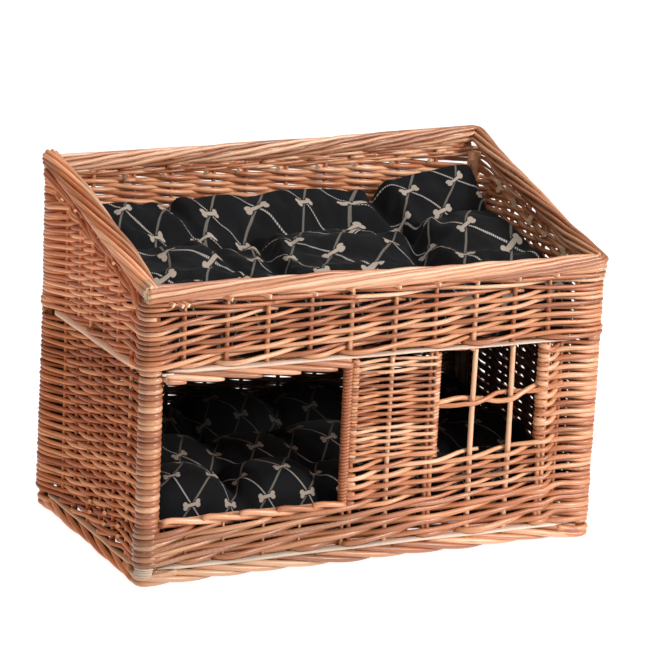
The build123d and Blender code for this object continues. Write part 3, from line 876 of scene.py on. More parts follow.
# rods turned under each corner, which the basket stands on
for c in (FL, FR, BR, BL):
    for z, rr in ((4.3, 10.6), (11.2, 11.4)):
        a0 = c["a0"]
        pts = wrap_points(c, a0 - 6, a0 + 96, rr, z, z + 0.6, 12)
        a = math.radians(a0)
        e0 = (c["x"] + math.cos(a) * rr + math.sin(a) * 34, c["y"] + math.sin(a) * rr - math.cos(a) * 34, z + 4.5)
        b = math.radians(a0 + 90)
        e1 = (c["x"] + math.cos(b) * rr - math.sin(b) * 34, c["y"] + math.sin(b) * rr + math.cos(b) * 34, z + 4.5)
        foot.tube(smooth_path([e0] + pts + [e1], 5), 3.9, sides=10)

# borders at the sill and the head of the doorway
sill, head = Bag(), Bag()


def lay_border(bag, x0, x1, z, spacing, r, length, depth_y, drop):
    """Overlapping rods: each starts on top at its left end and runs down behind the next."""
    k = -1
    while x0 + k * spacing < x1 - 18:
        a = x0 + k * spacing + rnd.uniform(-2, 2)
        b = min(a + length, x1 + rnd.uniform(0, 3))
        fa = max(0.0, (x0 - a) / length)
        n_ = 16
        f = np.linspace(fa, (b - a) / length, n_)
        x = a + f * length
        zz = z + drop * 0.5 - drop * f + 0.7 * np.sin(f * 3.0)
        yy = -depth_y - 3.2 * np.sin(np.clip(f * 1.15, 0, 1) * math.pi) + 3.6 * np.clip(f - 0.62, 0, 1) * 3.2
        rad = r * (1.0 - 0.16 * f)
        rad = np.array(rad)
        if fa == 0:
            rad[0] *= 0.55
            rad[1] *= 0.9
        bag.tube(np.stack([x, yy, zz], -1), rad, sides=10, caps=(2, 1))
        k += 1


for k in range(-1, 5):
    a_ = -268.0 + 47.5 * k + rnd.uniform(-2, 2)
    f = np.linspace(0, 1, 22)
    x = a_ + 108.0 * f
    keep_ = (x > -272) & (x < -34)
    if keep_.sum() < 5:
        continue
    zz = np.interp(f, [0, 0.06, 0.24, 0.44, 0.75, 1], [76.6, 79.4, 77.4, 73.6, 69.5, 67.0]) + rnd.uniform(-0.5, 0.5)
    yy = -np.interp(f, [0, 0.12, 0.35, 0.58, 0.85, 1], [165.0, 167.4, 166.8, 161.5, 154.0, 151.0])
    ker3 = np.array([0.25, 0.5, 0.25])
    zz = np.convolve(np.pad(zz, 1, mode="edge"), ker3, mode="valid")
    yy = np.convolve(np.pad(yy, 1, mode="edge"), ker3, mode="valid")
    rad = rnd.uniform(3.6, 4.0) * (1.0 - 0.1 * f)
    sill.tube(np.stack([x, yy, zz], -1)[keep_], rad[keep_], sides=10, caps=(2, 1))
for k in range(-2, 5):
    x0 = -263.0 + 47.5 * k + rnd.uniform(-2, 2)
    f = np.linspace(0, 1, 20)
    n_ = 112 - (14 if k > 2 else 0)
    x = x0 + n_ * f
    keep_ = (x > -276) & (x < -36)
    zz = 253.2 - 10.2 * f**1.15 + (1.2 if k > 2 else 0) + 0.5 * np.sin(f * 5)
    yy = -160.2 - 7.4 * np.sin(np.clip(f * 1.25, 0, 1) * math.pi / 2)
    rad = rnd.uniform(3.2, 3.6) * (0.9 + 0.15 * np.sin(f * math.pi))
    rad[-1] *= 0.6
    rad[-2] *= 0.9
    head.tube(np.stack([x, yy, zz], -1)[keep_], rad[keep_], sides=10, caps=(1, 2), blunt=1.0)
for bag, z, x1 in ((sill, 73.0, -44), (head, 247.5, -40)):
    for dy, dz in ((-2.2, -1.6), (3.0, 1.2), (3.4, -3.0)):
        xs = np.linspace(-272, x1, 40)
        bag.tube(np.stack([xs, np.full(40, -158.2 + dy) + 0.5 * np.sin(xs / 31), np.full(40, z + dz) + 0.5 * np.sin(xs / 23 + dy)], -1), 3.0, sides=8)

# ------------------------------------------------------------------ peeled frame sticks
white = Bag()


def lath(bag, a, b, ra, rb, bow=0.7):
    n_ = 48
    f = np.linspace(0, 1, n_)
    a, b = np.array(a, float), np.array(b, float)
    p = a + (b - a) * f[:, None]
    p[:, 2] += bow * np.sin(f * 9 + a[0]) * 0.5 + bow * 0.4 * np.sin(f * 23)
    tip = np.clip(np.minimum(f, 1 - f) * 26, 0.35, 1)
    if isinstance(rb, tuple):
        rb = np.interp(f, [0, 0.45, 1], rb)
    bag.tube(p, (ra * tip, rb * np.clip(tip, 0.6, 1)), sides=14, mat=0, cut=0)


xe, ye = POST_X - 12.5, POST_Y - 12.5
for y in (-1, 1):
    lath(white, (-xe - 2, y * 161.8, 20.8), (xe, y * 161.8, 20.8), 6.6, 2.65)
    lath(white, (-xe + 4, y * 161.8, 255.0), (xe - 2, y * 161.8, 255.0), 6.7, (3.0, 2.2, 1.5))
for x in (-1, 1):
    lath(white, (x * 292.2, -ye, 20.8), (x * 292.2, ye, 20.8), 6.4, 2.7)
    lath(white, (x * (292.4 if x > 0 else 293.6), -ye + 2, 255.0), (x * (292.4 if x > 0 else 293.6), ye - 14, 256.0), 6.6, 4.4)
# the peeled strip turned round the front left corner, and scraps of it at the shelf
for i, z in enumerate((13.2, 16.0, 18.8, 21.6)):
    pts = wrap_points(FL, 176 + 3 * i, 276 + 4 * i, POST_R + 5.3 - 0.35 * i, z, z + 0.7, 10)
    white.tube(smooth_path(pts, 4), (1.0, 1.45), sides=8, mat=0, cut=0)
white.tube(np.array([(-276, -165.4, 252.8), (-270, -166.6, 252.4), (-262, -166.4, 252.2)]), (1.0, 1.7), sides=8, cut=0)

# ------------------------------------------------------------------ window cross bar, twisted from two rods
cross = Bag()
xs = np.linspace(56, 247, 130)
zc = np.interp(xs, [56, 84, 115, 128.5, 158, 180, 205, 225, 247], [184.0, 186.5, 188.0, 187.0, 188.6, 190.2, 194.8, 198.0, 201.0])
for k in (0, 1):
    # the two rods change places between the bars
    knots = np.array([56, 70, 84, 104, 128.5, 146, 160, 180.0, 192, 206, 226.0, 247.0])
    if k == 0:  # upper at the left, behind the first bar, in front of the second
        sides_ = np.array([-1.0, -1.0, 0.3, -0.4, -1, -0.4, 0.4, 1, 0.6, 0.0, -1, -1])
        lift = np.array([-1.0, 1.2, 2.9, 3.6, 1.8, -0.6, -4.4, -3.8, -0.3, 2.0, 2.0, -1.0])
    else:
        sides_ = np.array([-1, -1, -0.5, 0.5, 1, 0.6, -0.4, -1, -0.6, 0.3, 1.0, 1.2])
        lift = np.array([0.0, -2.0, -3.0, -3.4, -1.9, 1.6, 4.6, 3.4, 0.8, -2.2, -2.2, 1.5])
    yy = -MID_Y + np.interp(xs, knots, sides_) * -6.1
    ker = np.hanning(17)
    ker /= ker.sum()
    yy = np.convolve(np.pad(yy, 8, mode="edge"), ker, mode="valid")
    dz = np.convolve(np.pad(np.interp(xs, knots, lift), 8, mode="edge"), ker, mode="valid")
    cross.tube(np.stack([xs, yy, zc + dz], -1), 3.05 - 0.25 * k, sides=12)

# ------------------------------------------------------------------ woven floors
mats_b, mats_s = Bag(), Bag()
for bag, z in ((mats_b, 22.5), (mats_s, 251.5)):
    for x in np.arange(-240, 241, 60):
        bag.tube(np.array([(x, -154, z), (x, 0, z), (x, 154, z)]), 2.9, sides=8, ref=(0, 0, 1))
    rows_ = 30
    for r_ in range(rows_):
        y = -147.5 + r_ * 295.0 / (rows_ - 1)
        xs = np.arange(-280, 281, 10.0)
        if abs(y) > 136:
            xs = np.arange(-262, 263, 10.0)
        zz = z + 2.3 * np.cos((xs + 240) / 60 * math.pi) * (1 if r_ % 2 else -1)
        bag.tube(np.stack([xs, np.full(len(xs), y) + 0.6 * np.sin(xs / 37 + r_), zz], -1), (4.7, 2.2), sides=6, ref=(0, 0, 1))


# ------------------------------------------------------------------ materials
def node(nt, kind, **kw):
    nd = nt.nodes.new(kind)
    for k, val in kw.items():
        if k.startswith("in_"):
            key = k[3:]
            nd.inputs[int(key) if key.isdigit() else key.replace("_", " ")].default_value = val
        else:
            setattr(nd, k, val)
    return nd


def ramp(nt, stops):
    nd = nt.nodes.new("ShaderNodeValToRGB")
    el = nd.color_ramp.elements
    while len(el) < len(stops):
        el.new(0.5)
    for e, (p_, c) in zip(el, stops):
        e.position = p_
        e.color = (*c, 1)
    return nd


def willow(name, stops, dark=(0.16, 0.055, 0.02), rough=0.4, coat=0.55, grain=0.5, scar=0.5, vary=0.62):
    """Varnished willow: each rod has its own tone, with streaks along it and leaf scars; painted shade darkens the
    den's inner faces, and painted shade and light tint the left wall and the band under the sill.
    """
    mt = bpy.data.materials.new(name)
    mt.use_nodes = True
    nt = mt.node_tree
    nt.nodes.clear()
    out = node(nt, "ShaderNodeOutputMaterial")
    bs = node(nt, "ShaderNodeBsdfPrincipled")
    nt.links.new(bs.outputs[0], out.inputs[0])
    bs.inputs["Coat Weight"].default_value = coat
    bs.inputs["Coat Roughness"].default_value = 0.3
    bs.inputs["Specular IOR Level"].default_value = 0.45
    L = nt.links.new
    seed = node(nt, "ShaderNodeAttribute", attribute_name="seed")
    uv = node(nt, "ShaderNodeUVMap", uv_map="rod")
    sep = node(nt, "ShaderNodeSeparateXYZ")
    L(uv.outputs[0], sep.inputs[0])
    # coordinates stretched along the rod; the seed moves each rod to its own place in the noise
    big = node(nt, "ShaderNodeMath", operation="MULTIPLY", in_1=57.0)
    L(seed.outputs["Fac"], big.inputs[0])
    comb = node(nt, "ShaderNodeCombineXYZ")
    ang = node(nt, "ShaderNodeMath", operation="MULTIPLY", in_1=TAU)
    L(sep.outputs[1], ang.inputs[0])
    ca, sa = node(nt, "ShaderNodeMath", operation="COSINE"), node(nt, "ShaderNodeMath", operation="SINE")
    L(ang.outputs[0], ca.inputs[0])
    L(ang.outputs[0], sa.inputs[0])
    ln = node(nt, "ShaderNodeMath", operation="MULTIPLY_ADD", in_1=9.0)
    L(sep.outputs[0], ln.inputs[0])
    L(big.outputs[0], ln.inputs[2])
    L(ln.outputs[0], comb.inputs[0])
    L(ca.outputs[0], comb.inputs[1])
    L(sa.outputs[0], comb.inputs[2])
    # slow changes of tone along the rod
    slow = node(nt, "ShaderNodeTexNoise", in_Scale=1.3, in_Detail=3.0, in_Roughness=0.6)
    L(comb.outputs[0], slow.inputs["Vector"])
    # fine streaks along it
    sc = node(nt, "ShaderNodeMapping")
    sc.inputs["Scale"].default_value = (0.9, 3.6, 3.6)
    L(comb.outputs[0], sc.inputs[0])
    fine = node(nt, "ShaderNodeTexNoise", in_Scale=3.0, in_Detail=5.0, in_Roughness=0.65)
    L(sc.outputs[0], fine.inputs["Vector"])
    hsh = node(nt, "ShaderNodeTexWhiteNoise", noise_dimensions="1D")
    L(seed.outputs["Fac"], hsh.inputs["W"])
    tone = node(nt, "ShaderNodeMath", operation="MULTIPLY_ADD", in_1=vary, in_2=0.35 - vary / 2)
    L(hsh.outputs["Value"], tone.inputs[0])
    add = node(nt, "ShaderNodeMath", operation="MULTIPLY_ADD", in_1=0.5)
    L(slow.outputs["Fac"], add.inputs[0])
    L(tone.outputs[0], add.inputs[2])
    add2 = node(nt, "ShaderNodeMath", operation="MULTIPLY_ADD", in_1=grain * 0.5)
    L(fine.outputs["Fac"], add2.inputs[0])
    L(add.outputs[0], add2.inputs[2])
    sub = node(nt, "ShaderNodeMath", operation="SUBTRACT", in_1=0.25 * (1 + grain) - 0.02)
    L(add2.outputs[0], sub.inputs[0])
    col = ramp(nt, stops)
    L(sub.outputs[0], col.inputs[0])
    # leaf scars: small darker spots now and then
    vm = node(nt, "ShaderNodeMapping")
    vm.inputs["Scale"].default_value = (2.4, 0.9, 0.9)
    L(comb.outputs[0], vm.inputs[0])
    vor = node(nt, "ShaderNodeTexVoronoi", in_Scale=1.0, feature="F1")
    L(vm.outputs[0], vor.inputs["Vector"])
    spot = node(nt, "ShaderNodeMapRange", in_1=0.05, in_2=0.26, in_3=scar, in_4=0.0)
    L(vor.outputs["Distance"], spot.inputs[0])
    mixc = node(nt, "ShaderNodeMix", data_type="RGBA")
    L(spot.outputs[0], mixc.inputs[0])
    L(col.outputs[0], mixc.inputs[6])
    mixc.inputs[7].default_value = (*dark, 1)
    # painted shade: the den's inner faces are darkened to near black right through the grain, standing in for the shade
    # inside the den
    co = node(nt, "ShaderNodeTexCoord")
    gm = node(nt, "ShaderNodeNewGeometry")
    ps, ns = node(nt, "ShaderNodeSeparateXYZ"), node(nt, "ShaderNodeSeparateXYZ")
    L(co.outputs["Object"], ps.inputs[0])
    L(gm.outputs["Normal"], ns.inputs[0])

    def op(kind, a, b=0.0):
        nd = nt.nodes.new("ShaderNodeMath")
        nd.operation = kind
        for i_, x_ in enumerate((a, b)):
            if isinstance(x_, (int, float)):
                nd.inputs[i_].default_value = x_
            else:
                L(x_, nd.inputs[i_])
        return nd.outputs[0]

    ax_ = op("ABSOLUTE", ps.outputs[0])
    nxo = op("MULTIPLY", ns.outputs[0], op("SIGN", ps.outputs[0]))
    back_ = op("GREATER_THAN", ps.outputs[1], 0.135)
    end_ = op("GREATER_THAN", ax_, 0.262)
    iny = op("LESS_THAN", ns.outputs[1], -0.02)
    inx = op("LESS_THAN", nxo, -0.02)
    m1 = op("MULTIPLY", op("MULTIPLY", back_, iny), op("LESS_THAN", ax_, 0.291))
    m2 = op("MULTIPLY", op("MULTIPLY", end_, inx), op("MAXIMUM", op("SUBTRACT", 1.0, back_), iny))
    m2 = op("MULTIPLY", m2, op("GREATER_THAN", ps.outputs[1], -0.14))
    den = op("MULTIPLY", op("MAXIMUM", m1, m2), op("LESS_THAN", ps.outputs[2], 0.252))
    shade = node(nt, "ShaderNodeMix", data_type="RGBA")
    L(op("MULTIPLY", den, 0.88), shade.inputs[0])
    L(mixc.outputs[2], shade.inputs[6])
    shade.inputs[7].default_value = (0.012, 0.005, 0.003, 1)
    # painted shade and light: the left wall, turned away from the key light, is darkened to a deeper, duller brown low
    # down and lightened to a redder one above; the band under the sill is darkened as painted shade between its rods
    left = node(nt, "ShaderNodeMapRange", in_1=-0.2855, in_2=-0.2895, in_3=0.0, in_4=1.0)
    L(ps.outputs[0], left.inputs[0])
    left = op("MULTIPLY", left.outputs[0], op("GREATER_THAN", ps.outputs[1], -0.148))
    low_ = op("MULTIPLY", left, op("LESS_THAN", ps.outputs[2], 0.255))
    up_ = op("SUBTRACT", left, low_)
    sx = node(nt, "ShaderNodeMapRange", in_1=-0.02, in_2=0.09, in_3=1.0, in_4=0.0)
    sz = node(nt, "ShaderNodeMapRange", in_1=0.064, in_2=0.072, in_3=1.0, in_4=0.0)
    L(ps.outputs[0], sx.inputs[0])
    L(ps.outputs[2], sz.inputs[0])
    band = op("MULTIPLY", op("MULTIPLY", sx.outputs[0], sz.outputs[0]), op("LESS_THAN", ps.outputs[1], -0.14))
    tone = shade.outputs[2]
    for f_, c_ in ((low_, (1.0, 0.74, 0.56)), (up_, (1.42, 1.2, 1.06)), (band, (0.74, 0.76, 0.74))):
        tm = node(nt, "ShaderNodeMix", data_type="RGBA", blend_type="MULTIPLY")
        L(f_, tm.inputs[0])
        L(tone, tm.inputs[6])
        tm.inputs[7].default_value = (*c_, 1)
        tone = tm.outputs[2]
    L(tone, bs.inputs["Base Color"])
    dull = op("ADD", op("MULTIPLY", low_, 0.75), op("MULTIPLY", up_, 0.35))
    L(op("MULTIPLY", op("SUBTRACT", 1.0, dull), 0.45), bs.inputs["Specular IOR Level"])
    L(op("MULTIPLY", op("SUBTRACT", 1.0, dull), coat), bs.inputs["Coat Weight"])
    rr = node(nt, "ShaderNodeMapRange", in_1=0.3, in_2=0.7, in_3=rough - 0.08, in_4=rough + 0.14)
    L(fine.outputs["Fac"], rr.inputs[0])
    L(rr.outputs[0], bs.inputs["Roughness"])
    h = node(nt, "ShaderNodeMath", operation="MULTIPLY_ADD", in_1=-0.5)
    L(spot.outputs[0], h.inputs[0])
    L(fine.outputs["Fac"], h.inputs[2])
    bp = node(nt, "ShaderNodeBump", in_Strength=0.35, in_Distance=0.0006)
    L(h.outputs[0], bp.inputs["Height"])
    L(bp.outputs[0], bs.inputs["Normal"])
    return mt


def srgb(*c):
    return tuple((x / 255 / 12.92) if x / 255 <= 0.04045 else ((x / 255 + 0.055) / 1.055) ** 2.4 for x in c)


WIL = willow(
    "willow",
    [
        (0.0, srgb(148, 84, 48)),
        (0.25, srgb(176, 102, 60)),
        (0.5, srgb(207, 142, 98)),
        (0.75, srgb(226, 174, 136)),
        (1.0, srgb(244, 208, 178)),
    ],
    vary=0.76,
)
RIMW = willow(
    "willow_border",
    [
        (0.0, srgb(140, 80, 46)),
        (0.3, srgb(184, 118, 78)),
        (0.6, srgb(210, 154, 116)),
        (1.0, srgb(236, 198, 168)),
    ],
    grain=0.45,
    vary=0.78,
)
PALE = willow(
    "peeled_willow",
    [(0.0, srgb(202, 166, 142)), (0.4, srgb(224, 200, 180)), (1.0, srgb(242, 228, 214))],
    dark=srgb(160, 112, 80),
    rough=0.5,
    coat=0.2,
    grain=0.4,
    scar=0.25,
)
CUT = willow(
    "willow_cut_end",
    [(0.0, srgb(206, 168, 126)), (0.5, srgb(226, 196, 158)), (1.0, srgb(240, 220, 190))],
    dark=srgb(120, 80, 50),
    rough=0.7,
    coat=0.0,
    scar=0.15,
)
WIL_P = willow(
    "willow_posts",
    [
        (0.0, srgb(136, 76, 43)),
        (0.25, srgb(162, 94, 55)),
        (0.5, srgb(190, 130, 90)),
        (0.75, srgb(210, 160, 124)),
        (1.0, srgb(230, 194, 166)),
    ],
    vary=0.76,
)
WM = [WIL, CUT]
RM = [RIMW, CUT]

low_front.make("front_low_weaving", WM, "basket", ["front_base_weave"], "willow")
low_pier.make("front_pier_weaving", WM, "basket", ["front_pier_weave", "window_sill_weave", "right_pier_weave"], "willow")
low_right.make("lower_right_weaving", WM, "basket", ["lower_right_weave"], "willow")
low_back.make("lower_back_weaving", WM, "basket", ["lower_back_weave"], "willow")
low_left.make("lower_left_weaving", WM, "basket", ["lower_left_weave"], "willow")
up_front.make("upper_front_weaving", WM, "basket", ["upper_front_weave"], "willow")
up_right.make("upper_right_weaving", WM, "basket", ["upper_right_weave"], "willow")
up_back.make("upper_back_weaving", WM, "basket", ["upper_back_weave"], "willow")
up_left.make("upper_left_weaving", WM, "basket", ["upper_left_weave"], "willow")
stakes_low.make("lower_stakes", WM, "basket", ["door_sill_stakes", "pier_stake", "right_pier_stake", "lower_back_stakes", "lower_left_stakes", "lower_right_stakes"], "willow")
stakes_up.make("upper_stakes", WM, "basket", ["upper_front_stakes", "upper_back_stakes", "upper_left_stakes", "upper_right_stakes"], "willow")
bars.make("window_bars", WM, "basket", ["window_bar_left", "window_bar_right"], "willow")
cross.make("window_crossbar_rods", WM, "basket", ["window_crossbar"], "willow")
jambs.make("door_and_window_posts", WM, "basket", ["door_post", "window_post_left", "window_post_right"], "willow")
posts.make("corner_posts", WM, "basket", ["corner_post_front_left", "corner_post_front_right", "corner_post_back_left", "corner_post_back_right"], "willow")
binds.make("corner_bindings", [WIL_P, CUT], "basket", ["corner_wrap_front_left", "corner_wrap_front_right", "corner_wrap_back_left", "corner_wrap_back_right"], "willow")
rims.make("rim_border_front_right_back", RM, "basket", ["rim_front", "rim_right", "rim_back"], "willow")
rim_l.make("rim_border_left", RM, "basket", ["rim_left"], "willow")
stubs.make("rim_cut_ends", RM, "basket", (), "willow")
foot.make("foot_border", WM, "basket", ["foot_border_front", "foot_border_back", "foot_border_left", "foot_border_right"], "willow")
sill.make("door_sill_rods", WM, "basket", ["door_sill_border"], "willow")
head.make("door_head_rods", RM, "basket", ["door_head_border"], "willow")
white.make("peeled_frame_sticks", [PALE, PALE], "basket", ["base_frame_front", "base_frame_back", "base_frame_left", "base_frame_right", "shelf_frame_front", "shelf_frame_back", "shelf_frame_left", "shelf_frame_right"], "peeled_willow")
mats_b.make("den_floor", WM, "basket", ["base_mat_weave", "base_mat_sticks"], "willow")
mats_s.make("shelf_floor", WM, "basket", ["shelf_mat_weave", "shelf_mat_sticks"], "willow")

# ------------------------------------------------------------------ cushions
def fabric(name, back_shade=None):
    """Black cotton with a diamond trellis: a bone at every crossing, one set of lines ribbed, the other dotted.
    The mesh carries trellis coordinates in its UV map, so one unit is one repeat."""
    mt = bpy.data.materials.new(name)
    mt.use_nodes = True
    nt = mt.node_tree
    nt.nodes.clear()
    L = nt.links.new
    out = node(nt, "ShaderNodeOutputMaterial")
    bs = node(nt, "ShaderNodeBsdfPrincipled")
    L(bs.outputs[0], out.inputs[0])
    bs.inputs["Specular IOR Level"].default_value = 0.16
    bs.inputs["Sheen Weight"].default_value = 0.02
    bs.inputs["Sheen Roughness"].default_value = 0.5
    uv = node(nt, "ShaderNodeUVMap", uv_map="cloth")
    sep = node(nt, "ShaderNodeSeparateXYZ")
    L(uv.outputs[0], sep.inputs[0])

    def mth(op, a, b=None, c=None):
        nd = nt.nodes.new("ShaderNodeMath")
        nd.operation = op
        for i_, x_ in enumerate((a, b, c)):
            if x_ is None:
                continue
            if isinstance(x_, (int, float)):
                nd.inputs[i_].default_value = x_
            else:
                L(x_, nd.inputs[i_])
        return nd.outputs[0]

    A_, B_ = REPEAT
    U, V = sep.outputs[0], sep.outputs[1]
    s_ = mth("MULTIPLY_ADD", V, -0.5, U)
    t_ = mth("MULTIPLY_ADD", V, 0.5, U)
    sr, tr = mth("ROUND", s_), mth("ROUND", t_)
    ds, dt = mth("SUBTRACT", s_, sr), mth("SUBTRACT", t_, tr)
    grad = math.hypot(1 / A_, 0.5 / B_)

    def band(d, half, soft=0.25):
        nd = node(nt, "ShaderNodeMapRange", interpolation_type="SMOOTHSTEP")
        nd.inputs[1].default_value = half - soft
        nd.inputs[2].default_value = half + soft
        nd.inputs[3].default_value = 1.0
        nd.inputs[4].default_value = 0.0
        L(d, nd.inputs[0])
        return nd.outputs[0]

    line1 = band(mth("MULTIPLY", mth("ABSOLUTE", ds), 1 / grad), 1.25)
    line2 = band(mth("MULTIPLY", mth("ABSOLUTE", dt), 1 / grad), 0.85)
    reach = math.hypot(A_ / 2, B_)
    rib = mth("MULTIPLY_ADD", mth("SINE", mth("MULTIPLY", t_, reach / 1.7 * TAU)), 0.3, 0.62)
    dots = band(mth("ABSOLUTE", mth("SUBTRACT", mth("FRACT", mth("MULTIPLY", s_, reach / 2.3)), 0.5)), 0.3, 0.08)
    l1 = mth("MULTIPLY", line1, rib)
    l2 = mth("MULTIPLY", line2, dots)
    # the bone, about its own crossing, a little turned
    X = mth("MULTIPLY", mth("ADD", ds, dt), A_ / 2)
    Y = mth("MULTIPLY", mth("SUBTRACT", dt, ds), B_)
    c_, n_ = math.cos(0.16), math.sin(0.16)
    Xr = mth("ADD", mth("MULTIPLY", X, c_), mth("MULTIPLY", Y, n_))
    Yr = mth("SUBTRACT", mth("MULTIPLY", Y, c_), mth("MULTIPLY", X, n_))
    ax, ay = mth("ABSOLUTE", Xr), mth("ABSOLUTE", Yr)
    shaft = mth("MAXIMUM", mth("SUBTRACT", ax, 8.2), mth("SUBTRACT", ay, 2.25))
    lx, ly = mth("SUBTRACT", ax, 8.5), mth("SUBTRACT", ay, 2.45)
    lobe = mth("SUBTRACT", mth("SQRT", mth("ADD", mth("MULTIPLY", lx, lx), mth("MULTIPLY", ly, ly))), 3.05)
    bone = band(mth("MINIMUM", shaft, lobe), 0.0, 0.3)
    # a thread-thin black outline parts the bone from the lines
    halo = band(mth("MINIMUM", shaft, lobe), 1.3, 0.3)
    l1 = mth("MULTIPLY", l1, mth("SUBTRACT", 1.0, halo))
    l2 = mth("MULTIPLY", l2, mth("SUBTRACT", 1.0, halo))
    # the weave of the cotton
    weave_ = node(nt, "ShaderNodeTexNoise", in_Scale=900.0, in_Detail=2.0)
    co = node(nt, "ShaderNodeTexCoord")
    L(co.outputs["Object"], weave_.inputs["Vector"])
    cloud = node(nt, "ShaderNodeTexNoise", in_Scale=22.0, in_Detail=4.0)
    L(co.outputs["Object"], cloud.inputs["Vector"])
    base = ramp(nt, [(0.35, (0.0022, 0.0023, 0.0028)), (0.65, (0.0048, 0.0049, 0.006))])
    L(cloud.outputs["Fac"], base.inputs[0])
    mix = None
    col = base.outputs[0]
    for fac, rgb in ((l1, (0.19, 0.165, 0.14)), (l2, (0.42, 0.385, 0.345)), (bone, (0.33, 0.27, 0.22))):
        mix = node(nt, "ShaderNodeMix", data_type="RGBA")
        L(fac, mix.inputs[0])
        L(col, mix.inputs[6])
        mix.inputs[7].default_value = (*rgb, 1)
        col = mix.outputs[2]
    # painted shade: towards the back of the den the cloth is darkened to near black, as the shade deep inside would
    # make it
    if back_shade:
        py_ = node(nt, "ShaderNodeSeparateXYZ")
        L(co.outputs["Object"], py_.inputs[0])
        fd = node(nt, "ShaderNodeMapRange", in_1=back_shade[0], in_2=back_shade[1], in_3=0.0, in_4=back_shade[2])
        L(py_.outputs[1], fd.inputs[0])
        mix = node(nt, "ShaderNodeMix", data_type="RGBA")
        L(fd.outputs[0], mix.inputs[0])
        L(col, mix.inputs[6])
        mix.inputs[7].default_value = (0.0015, 0.0015, 0.0018, 1)
        col = mix.outputs[2]
    L(col, bs.inputs["Base Color"])
    rr = node(nt, "ShaderNodeMapRange", in_1=0.3, in_2=0.7, in_3=0.78, in_4=0.95)
    L(weave_.outputs["Fac"], rr.inputs[0])
    L(rr.outputs[0], bs.inputs["Roughness"])
    hh = mth("ADD", mth("MULTIPLY", weave_.outputs["Fac"], 0.4), mth("MULTIPLY", bone, 0.35))
    hh = mth("ADD", hh, mth("MULTIPLY", mth("ADD", l1, l2), 0.25))
    bp = node(nt, "ShaderNodeBump", in_Strength=0.5, in_Distance=0.0005)
    L(hh, bp.inputs["Height"])
    L(bp.outputs[0], bs.inputs["Normal"])
    return mt


REPEAT = (58.0, 42.0)


def dome(x, y, cx, cy, a, b, top, base, px=2.4, py=2.4, turn=0.0):
    c_, s_ = math.cos(math.radians(turn)), math.sin(math.radians(turn))
    dx, dy = x - cx, y - cy
    u, v = (dx * c_ + dy * s_) / a, (-dx * s_ + dy * c_) / b
    q = np.clip(1 - np.abs(u) ** px - np.abs(v) ** py, 0, None)
    return base + (top - base) * q ** 0.62


def soft_max(hs, k):
    hs = np.stack(hs)
    m_ = hs.max(0)
    return m_ + k * np.log(np.exp((hs - m_) / k).sum(0))


# how the cloth of the upper cushion lies: points on it (mm), then the folds pressed into it (line, depth, width)
FOLDS = [
    (-234, 126, 383), (-215, 126, 384), (-193, 126, 383), (-176, 126, 381), (-157, 126, 377), (-143, 126, 383), (-110, 126, 384), (-78, 126, 385),
    (-60, 126, 384), (-33, 126, 383), (-6, 126, 386), (26, 126, 386), (63, 126, 385), (91, 126, 383), (115, 126, 379), (127, 124, 372),
    (147, 126, 388), (170, 126, 394), (189, 126, 398), (218, 126, 402), (242, 126, 406), (261, 126, 406), (270, 122, 403), (280, 122, 383),
    (-219, 104, 372), (-193, 104, 371), (-167, 104, 367), (-141, 104, 373), (-105, 104, 373), (-65, 104, 373), (-29, 104, 371), (7, 104, 373),
    (44, 104, 372), (81, 104, 369), (109, 104, 364), (158, 104, 378), (193, 104, 384), (231, 104, 388), (255, 104, 386), (132, 102, 356),
    (-214, 82, 354), (-186, 82, 351), (-160, 82, 347), (-131, 82, 344), (-109, 82, 340), (-73, 82, 337), (-47, 82, 340), (-11, 82, 346),
    (25, 82, 349), (62, 82, 350), (99, 82, 345), (136, 82, 350), (173, 82, 358), (211, 82, 363), (245, 82, 363), (-216, 66, 344),
    (-186, 66, 342), (-156, 66, 343), (-129, 66, 342), (-103, 66, 333), (-76, 66, 335), (-54, 66, 339), (-36, 66, 344), (-5, 66, 346),
    (27, 66, 348), (64, 66, 347), (96, 66, 345), (119, 66, 339), (139, 62, 336), (159, 62, 346), (182, 62, 355), (210, 62, 360),
    (239, 62, 361), (-223, 28, 342), (-193, 28, 345), (-167, 28, 347), (-141, 28, 346), (-119, 28, 337), (-93, 28, 333), (-72, 28, 331),
    (-57, 30, 342), (-26, 30, 350), (10, 30, 351), (46, 30, 350), (78, 30, 344), (106, 30, 338), (127, 30, 329), (141, 24, 328),
    (149, 24, 341), (167, 24, 355), (190, 24, 361), (218, 24, 364), (247, 24, 359), (-234, -20, 339), (-204, -20, 341), (-175, -20, 342),
    (-149, -20, 337), (-118, -20, 328), (-97, -20, 324), (-76, -14, 333), (-46, -14, 340), (-11, -14, 340), (25, -14, 338), (61, -14, 334),
    (94, -14, 326), (121, -14, 318), (140, -30, 330), (167, -30, 343), (195, -30, 345), (223, -30, 342), (247, -30, 335), (-262, 126, 380),
    (-262, 104, 368), (-262, 82, 354), (-262, 66, 348), (-262, 28, 350), (-262, -20, 346), (-258, -60, 338), (-215, -64, 344), (-170, -60, 336),
    (-130, -64, 330), (-90, -60, 322), (-50, -58, 334), (0, -62, 338), (50, -60, 334), (95, -62, 320), (140, -66, 322), (190, -70, 336),
    (235, -66, 334), (-262, -100, 330), (-222, -104, 340), (-176, -100, 326), (-120, -104, 338), (-66, -100, 320), (-10, -104, 334), (46, -104, 336),
    (100, -100, 320), (150, -104, 334), (206, -104, 336), (262, -100, 322), (-262, -140, 322), (-176, -140, 318), (-90, -140, 326), (-20, -140, 322),
    (60, -140, 326), (120, -140, 316), (190, -140, 326), (262, -140, 318), (280, 120, 392), (280, 92, 368), (276, 62, 358), (274, 24, 358),
    (274, -20, 350), (274, -60, 340),
]
